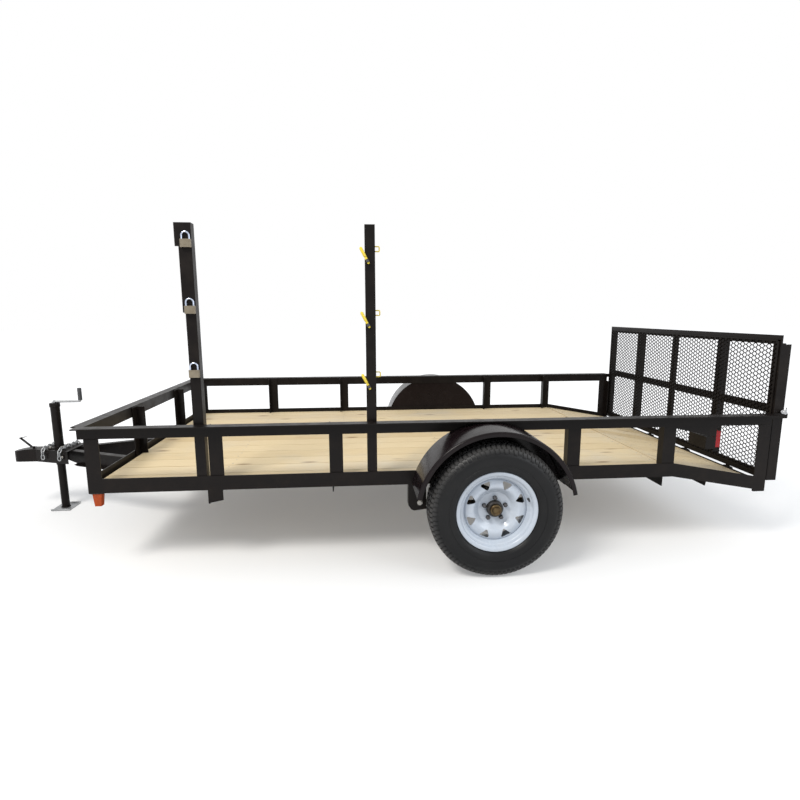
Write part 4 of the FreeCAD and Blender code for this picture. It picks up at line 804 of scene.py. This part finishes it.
def fender_details():
    low, high, _ = size_of("fender_left")
    inside, end, radius = low.y / MM, high.y / MM, (high.z - AXLE.z) / MM
    wall, lip, bend, hem, foot_rise, apron_rise = 3, 26, 9, 1.5, 85, 116
    foot, rise = asin(foot_rise / radius), asin(apron_rise / (radius - 0.5))
    # section of the band: flat roll, a tight bend at the outer edge and the turned-down lip
    tip, quarter = radius - lip + 2 * hem, turns(6, 0, pi / 2)
    section = [(inside, radius)]
    section += [(end - bend + bend * sin(a), radius - bend + bend * cos(a)) for a in quarter]
    section += [(end - hem + hem * cos(a), tip - hem * sin(a)) for a in turns(4, 0, pi)]
    section += [(end - wall, tip)]
    section += [(end - bend + (bend - wall) * sin(a), radius - bend + (bend - wall) * cos(a))
                for a in reversed(quarter)]
    section += [(inside, radius - wall)]
    arc = turns(64, rise, pi - 2 * rise)
    for side, sign in SIDES:
        bm = bmesh.new()
        rings = [[bm.verts.new(about_y(AXLE, r, a, sign * y)) for y, r in section]
                 for a in turns(84, foot, pi - 2 * foot)]
        join_rings(bm, rings)
        bm.faces.new(rings[0])
        bm.faces.new(rings[-1][::-1])
        # apron against the sill, and the weld along the inner corner
        add_prism(bm, [about_y(AXLE, radius - 0.4, a, sign * inside) for a in arc],
                  (0, sign * wall * MM, 0))
        add_wire(bm, [about_y(AXLE, radius - 4.4, a, sign * (inside + 4.4)) for a in arc], 2.2, 6)
        piece("fender_skin_" + side, bm, "fender_black", ["fender_" + side])


# Safety chains

def chain_details():
    """Links of round wire, each on the long and the broad axis of its solid."""
    bm = bmesh.new()
    wire = 3.6
    for points in islands(NODES["safety_chains"]):
        cloud = numpy.array([list(p) for p in points])
        middle = cloud.mean(axis=0)
        axes = numpy.linalg.eigh(numpy.cov((cloud - middle).T))[1]
        _, broad, reach = abs((cloud - middle) @ axes).max(axis=0)
        along, across, half = Vector(axes[:, 2]), Vector(axes[:, 1]), broad - wire * MM
        loop = [Vector(middle) + along * (sign * (reach - broad + half * cos(a)))
                + across * (sign * half * sin(a))
                for sign in (1, -1) for a in turns(10, -pi / 2, pi)]
        add_wire(bm, loop, wire, 10, closed=True)
    piece("chain_links", bm, "zinc", ["safety_chains"], smooth=40)


# Rack

def padlock(body, keyway, low, high, mid):
    """A laminated body: thin leaves with grooves between them, rivets and a keyway below."""
    half, deep = (high.x - low.x) / 2, (high.y - low.y) / 2
    plan = rounded([(-half, -deep), (half, -deep), (half, deep), (-half, deep)], 5.5 * MM, 6)
    leaves = 7
    step = (high.z - low.z) / leaves
    for k in range(leaves):
        z = low.z + k * step
        for wide, broad, start, push in ((1, 1, 0.25 * MM, step - 0.5 * MM),
                                         (0.972, 0.95, -0.3 * MM, 0.6 * MM)):
            add_prism(body, [(mid.x + px * wide, mid.y + py * broad, z + start) for px, py in plan],
                      (0, 0, push))
    for px in (-half + 6 * MM, half - 6 * MM):
        for py in (low.y + 5 * MM, high.y - 5 * MM):
            add_turned(body, (mid.x + px, py, low.z - 0.6 * MM), (0, 0, -1),
                       [(0, 2.4), (0.8, 2), (1, 0)], 14)
    add_turned(keyway, (mid.x, mid.y, low.z - 0.2 * MM), (0, 0, -1), [(0, 6), (1, 5.8), (1, 0)], 24)


def keeper_loop(bm, low, high, mid):
    """A loop of bent wire behind the post, open to it."""
    thin, bend = 3, 5 * MM
    x, top, bottom = low.x + thin * MM + bend, high.z - thin * MM, low.z + thin * MM
    path = [(high.x, top), (x, top)]
    path += [(x - bend * sin(a), top - bend + bend * cos(a)) for a in BEND]
    path += [(x - bend * cos(a), bottom + bend - bend * sin(a)) for a in (0.0, *BEND[:3])]
    path += [(x, bottom), (high.x, bottom)]
    add_wire(bm, [(px, mid.y, pz) for px, pz in path], thin, 12)


def hook_handle(handle, dark, low, high):
    """A leaning lever with round ends and a thick grip, on a pivot bolt."""
    y, width = low.y, 12 * MM
    foot = Vector((low.x + width / 2 + 1 * MM, 0, low.z + width / 2 + 1 * MM))
    tip = Vector((high.x - 6 * MM, 0, high.z - 5 * MM))
    lean = (tip - foot).normalized()
    across = Vector((lean.z, 0, -lean.x))
    outline = [end + (across * cos(a) + lean * sin(a)) * (sign * width / 2)
               for end, sign in ((tip, 1), (foot, -1)) for a in turns(12, 0, pi)]
    add_prism(handle, [(p.x, y + 6 * MM, p.z) for p in outline], (0, 5 * MM, 0))
    pivot = foot + lean * width * 0.9
    add_turned(dark, (pivot.x, y, pivot.z), (0, 1, 0),
               [(0, 0), (0, 5), (11.2, 5), (11.2, 9), (13.0, 9)], 20)
    add_hex(dark, (pivot.x, y + 12.6 * MM, pivot.z), (0, 1, 0), 7.4, 4.6)
    start, end = (Vector((p.x, y + 8.5 * MM, p.z)) for p in (foot + lean * 34 * MM, tip + lean * 2 * MM))
    long = (end - start).length / MM
    add_turned(handle, start, end - start,
               [(0, 0), (0, 6.6), (2, 7.6), (long - 2, 7.6), (long, 6), (long + 0.8, 0)], 20)


def rack_details():
    locks, arcs, handles, dark = (bmesh.new() for _ in range(4))
    for low, high, mid in solids("padlock_bodies"):
        padlock(locks, dark, low, high, mid)
    for low, high, mid in solids("padlock_shackles"):
        wire = 4
        half = (high.x - low.x) / 2 - wire * MM
        level = high.z - wire * MM - half
        path = [(mid.x + half, mid.y, low.z)]
        path += [about_y((mid.x, mid.y, level), half / MM, a) for a in turns(16, 0, pi)]
        path += [(mid.x - half, mid.y, low.z)]
        add_wire(arcs, path, wire, 14)
    for low, high, mid in solids("rack_hooks"):
        if high.y - low.y < 12 * MM and high.z - low.z < 40 * MM:
            keeper_loop(handles, low, high, mid)
        else:
            hook_handle(handles, dark, low, high)
    piece("padlock_leaves", locks, "lock_brass", ["padlock_bodies"], smooth=30, bevel=0.35, steps=1)
    piece("padlock_arcs", arcs, "lock_chrome", ["padlock_shackles"], smooth=40)
    piece("rack_handles", handles, "hook_yellow", ["rack_hooks"], smooth=40, bevel=0.9)
    piece("rack_pivots", dark, "nut_dark", smooth=30)


# Jack

def jack_details():
    low, high, mid = size_of("jack_tube")
    x, seat, plate = mid.x, size_of("coupler")[1].z, 8 * MM

    def bead(bm, radius, z, wire):
        """A weld bead round the jack's axis."""
        add_wire(bm, [(x + radius * MM * cos(a), radius * MM * sin(a), z) for a in turns(40)], wire, 8,
                 closed=True)

    bm = bmesh.new()
    add_turned(bm, (x, 0, low.z), (0, 0, 1),
               [(0, 25), (0, 28.5), (396, 28.5), (396, 31), (400, 32), (419, 32), (423, 30), (424, 26),
                (424, 11), (426, 10), (426, 0), (400, 0), (400, 25)], 48)
    slab(bm, (low.x, low.y, seat), (high.x, high.y, seat + plate), 14, 6)
    bead(bm, 30.6, seat + 10 * MM, 3.4)
    piece("jack_outer_tube", bm, "frame_black", ["jack_tube"], bevel=0.8)
    bm = bmesh.new()
    for dx in (-38, 38):
        for dy in (-38, 38):
            add_hex(bm, (x + dx * MM, dy * MM, seat + plate), (0, 0, 1), 8.5, 7, 11)
    piece("jack_bolts", bm, "screw_zinc", smooth=25)
    # crank: hub, bent rod and a ribbed grip
    low, grip = size_of("jack_crank")[0], size_of("jack_grip")
    level, end, bend = low.z + 8.5 * MM, grip[2].x, 9 * MM
    bm = bmesh.new()
    add_turned(bm, (x, 0, low.z), (0, 0, 1),
               [(0, 0), (0, 9.6), (2, 9.6), (2.4, 8), (16, 8), (16.5, 7), (16.5, 0)], 28)
    path = [(x + 8 * MM, 0, level), (end + bend, 0, level)]
    path += [(end + bend - bend * sin(a), 0, level + bend - bend * cos(a))
             for a in (0.3, 0.6, 0.9, *BEND[2:])]
    add_wire(bm, path + [(end, 0, level + 14 * MM)], 7.6, 20)
    piece("crank_rod", bm, "zinc", ["jack_crank"], smooth=40)
    profile = [(0, 6), (0, 11.5), (1.5, 13)]
    for z in range(7, 79, 8):
        profile += [(z, 13), (z + 1.2, 11.8), (z + 2.6, 11.8), (z + 3.8, 13)]
    profile += [(79, 13), (81.4, 11.4), (82, 8), (82, 0)]
    turned_piece("crank_grip", "grip_black", (end, 0, grip[0].z), (0, 0, 1), profile, 36,
                 nodes=["jack_grip"], smooth=50)
    # leg with its weld bead, and the pressed foot
    bm = bmesh.new()
    add_turned(bm, (x, 0, 6 * MM), (0, 0, 1), [(0, 21.6), (0, 24.6), (433, 24.6), (434, 21.6)], 48,
               closed=True)
    bead(bm, 26.6, 8.4 * MM, 3.0)
    piece("jack_inner_leg", bm, "frame_black", ["jack_leg"], "jack_foot_leg")
    low, high, _ = size_of("jack_leg")
    half, rise, wall, bend = high.y / MM, 14, 6, 5
    section = [(-half, rise), (-half, bend)]
    section += [(-half + bend - bend * cos(a), bend - bend * sin(a)) for a in BEND]
    section += [(-y, z) for y, z in reversed(section)]
    inner = [(half - wall, rise), (half - wall, wall + 2), (half - wall - 2, wall)]
    section += inner + [(-y, z) for y, z in reversed(inner)]
    bm = bmesh.new()
    add_prism(bm, [(low.x, y * MM, z * MM) for y, z in section], (high.x - low.x, 0, 0))
    piece("jack_foot_plate", bm, "zinc", body="jack_foot_leg", bevel=1.2)


# Lamps

def lamp_details():
    # tail lens: round ribs across its rear face
    low, high, _ = size_of("tail_lamp_lenses")
    low.x += 2.6 * MM
    bm = bmesh.new()
    add_box(bm, low, high)
    ribs, rib_depth, margin = 9, 2.4 * MM, 5 * MM
    step = (high.z - low.z) / ribs
    for k in range(ribs):
        level = low.z + step * (k + 0.5)
        add_prism(bm, [(low.x - rib_depth * sin(a), low.y + margin, level + 0.36 * step * cos(a))
                       for a in turns(6, 0, pi)], (0, high.y - low.y - 2 * margin, 0))
    piece("tail_lens", bm, "lens_red", ["tail_lamp_lenses"], bevel=2.4, steps=3)
    low, high, mid = size_of("tail_lamp_housings")
    bm = bmesh.new()
    add_box(bm, low, high)
    piece("tail_housing", bm, "lamp_black", ["tail_lamp_housings"], smooth=40, bevel=2.0, steps=3)
    bm = bmesh.new()
    for dy in (-28, 28):
        add_hex(bm, (high.x, mid.y + dy * MM, mid.z - 12 * MM), (1, 0, 0), 5, 4.6, 7)
    piece("tail_studs", bm, "screw_zinc", smooth=25)
    # markers: a stack of rings that tapers downwards, with necks between them
    levels, taper, neck, share = 11, 8 * MM, 1.4 * MM, 0.82
    bm = bmesh.new()
    for low, high, _ in solids("marker_lenses"):
        tall = high.z - low.z
        for k in range(levels):
            side = taper * k / levels
            top, bottom = high.z - tall * k / levels, high.z - tall * (k + share) / levels
            slab(bm, (low.x + side, low.y, bottom), (high.x - side, high.y, top), 6, 5)
            if k < levels - 1:
                start = bottom - tall / levels * 0.2
                slab(bm, (low.x + side + neck, low.y + neck, start),
                     (high.x - side - neck, high.y - neck, start + tall / levels * 0.22), 5, 5)
    piece("marker_lens", bm, "lens_amber", ["marker_lenses"])


# Running gear

def gear_details():
    low, high, _ = size_of("axle_beam")
    long = (high.y - low.y) / MM
    bm = bmesh.new()
    add_turned(bm, (AXLE.x, low.y, AXLE.z), (0, 1, 0),
               [(0, 0), (0, 15), (2, 17), (98, 17), (98, 30), (long - 98, 30), (long - 98, 17),
                (long - 2, 17), (long, 15), (long, 0)], 56)
    for sign in (-1, 1):
        add_wire(bm, [about_y(AXLE, 21, a, sign * 1078) for a in turns(36)], 3.6, 8, closed=True)
    piece("axle_round", bm, "frame_black", ["axle_beam"])
    # nuts of the U-bolts under the tie plates, and the eye bolts' heads
    bm = bmesh.new()
    for low, _, mid in solids("axle_clamps"):
        for dx in (-36.3, 36.3):
            for dy in (-28.3, 28.3):
                add_hex(bm, (AXLE.x + dx * MM, mid.y + dy * MM, low.z + 10 * MM), (0, 0, -1), 10.5, 9, 12)
    eye_z, reach, shackle = size_of("leaf_springs")[1].z - 14 * MM, 360 * MM, 62 * MM
    for low, high, mid in solids("spring_hangers"):
        front = mid.x > AXLE.x
        for z in (eye_z,) if front else (eye_z, eye_z + shackle):
            x = AXLE.x + (reach if front else -reach)
            add_hex(bm, (x, high.y - 6 * MM, z), (0, 1, 0), 13, 8, 15)
            add_hex(bm, (x, low.y + 6 * MM, z), (0, -1, 0), 13, 10, 15)
    piece("gear_nuts", bm, "screw_zinc", smooth=25)


# Deck screws, welds and coupler bolts

def small_details():
    rng = random.Random(3)
    bm = bmesh.new()

    def screw_pairs(place, up):
        """Two screw heads a plank; place gives the point of each one from its own way across."""
        for k in range(PLANK_COUNT):
            for dy in (-38, 38):
                at = place(lambda: PLANK_LOW.y + (k + 0.5) * PLANK_PITCH + (dy + rng.uniform(-5, 5)) * MM)
                add_turned(bm, at, up, [(0, 4.6), (0.9, 4.4), (0.9, 1.8), (0.2, 1.6), (0.2, 0)], 10)

    top, front = PLANK_HIGH.z, size_of("front_crossmember")[1].x
    for x in [front - back * MM for back in (38, 642, 1256, 1898, 2542)] + [PLANK_LOW.x + 24.5 * MM]:
        screw_pairs(lambda y: Vector((x + rng.uniform(-7, 7) * MM, y(), top - 0.6 * MM)), (0, 0, 1))
    # the tail falls 100 mm over 555 mm
    slope = Vector((-555, 0, -100)).normalized()
    up = Vector((slope.z, 0, -slope.x))
    edge = Vector((size_of("deck_planks_tail")[1].x, 0, top)) - up * (0.4 * MM)
    for run in (60, 290, 500):
        screw_pairs(lambda y: edge + slope * ((run + rng.uniform(-6, 6)) * MM) + Vector((0, y(), 0)), up)
    piece("deck_screws", bm, "screw_zinc", smooth=30)
    # beads where the uprights meet sill and rail, on their outer faces
    margin = 3 * MM
    bm = bmesh.new()
    for name in ("uprights_left", "uprights_right", "uprights_front"):
        for low, high, _ in solids(name):
            for z in (low.z, high.z):
                if name == "uprights_front":
                    start, run, along = (high.x, low.y + margin, z), high.y - low.y, Vector((0, 1, 0))
                else:
                    face = high.y if name == "uprights_left" else low.y
                    start, run, along = (low.x + margin, face, z), high.x - low.x, Vector((1, 0, 0))
                run -= 2 * margin
                count = int(run / (3 * MM))
                path = [Vector(start) + along * (run * k / count)
                        + Vector((0, 0, rng.uniform(-0.5, 0.5) * MM)) for k in range(count + 1)]
                add_wire(bm, path, 2.0, 6)
    piece("weld_beads", bm, "frame_black", smooth=60)
    # bolts through the coupler's wings into the tongue arms
    bm = bmesh.new()
    low, high, mid = size_of("coupler")
    angle = radians(25)
    for sign in (-1, 1):
        out = Vector((sin(angle), sign * cos(angle), 0))
        for back in (40 * MM, 110 * MM, 200 * MM):
            at = Vector((low.x + back, sign * (high.y - tan(angle) * back), mid.z + 4 * MM))
            add_hex(bm, at - out * 0.3 * MM, out, 9.5, 7, 12)
    piece("coupler_bolts", bm, "screw_zinc", smooth=25)


# Nodes that keep their own shape

KEPT = {
    "frame_black": [
        "side_sill_left", "side_sill_right", "top_rail_left", "top_rail_right", "top_rail_front",
        "front_crossmember", "rear_crossmember", "uprights_left", "uprights_right", "uprights_front",
        "deck_crossmembers", "tongue_arm_left", "tongue_arm_right", "tongue_crossbar", "coupler",
        "gate_frame", "tail_lamp_brackets", "marker_brackets", "rack_post_front", "rack_post_rear",
        "gate_latch_tabs", "spring_hangers", "coupler_latch"],
    "deck_pine": ["deck_planks_main", "deck_planks_tail"],
    "spring_steel": ["leaf_springs", "axle_clamps"],
}
# how far the edges are rounded, where it isn't the usual 1.4 mm
EDGE = {"deck_planks_main": 2.2, "deck_planks_tail": 2.2, "leaf_springs": 0.8, "coupler": 1.6,
        "marker_brackets": 0.5}


def dress_kept():
    for slot, names in KEPT.items():
        for name in names:
            thing = NODES[name]
            thing.data.materials.clear()
            thing.data.materials.append(LOOK[slot])
            round_edges(thing, EDGE.get(name, 1.4), 2, 40)


camera()
surroundings()
dress_kept()
wheel_details()
gate_mesh()
gate_details()
fender_details()
chain_details()
rack_details()
jack_details()
lamp_details()
gear_details()
small_details()
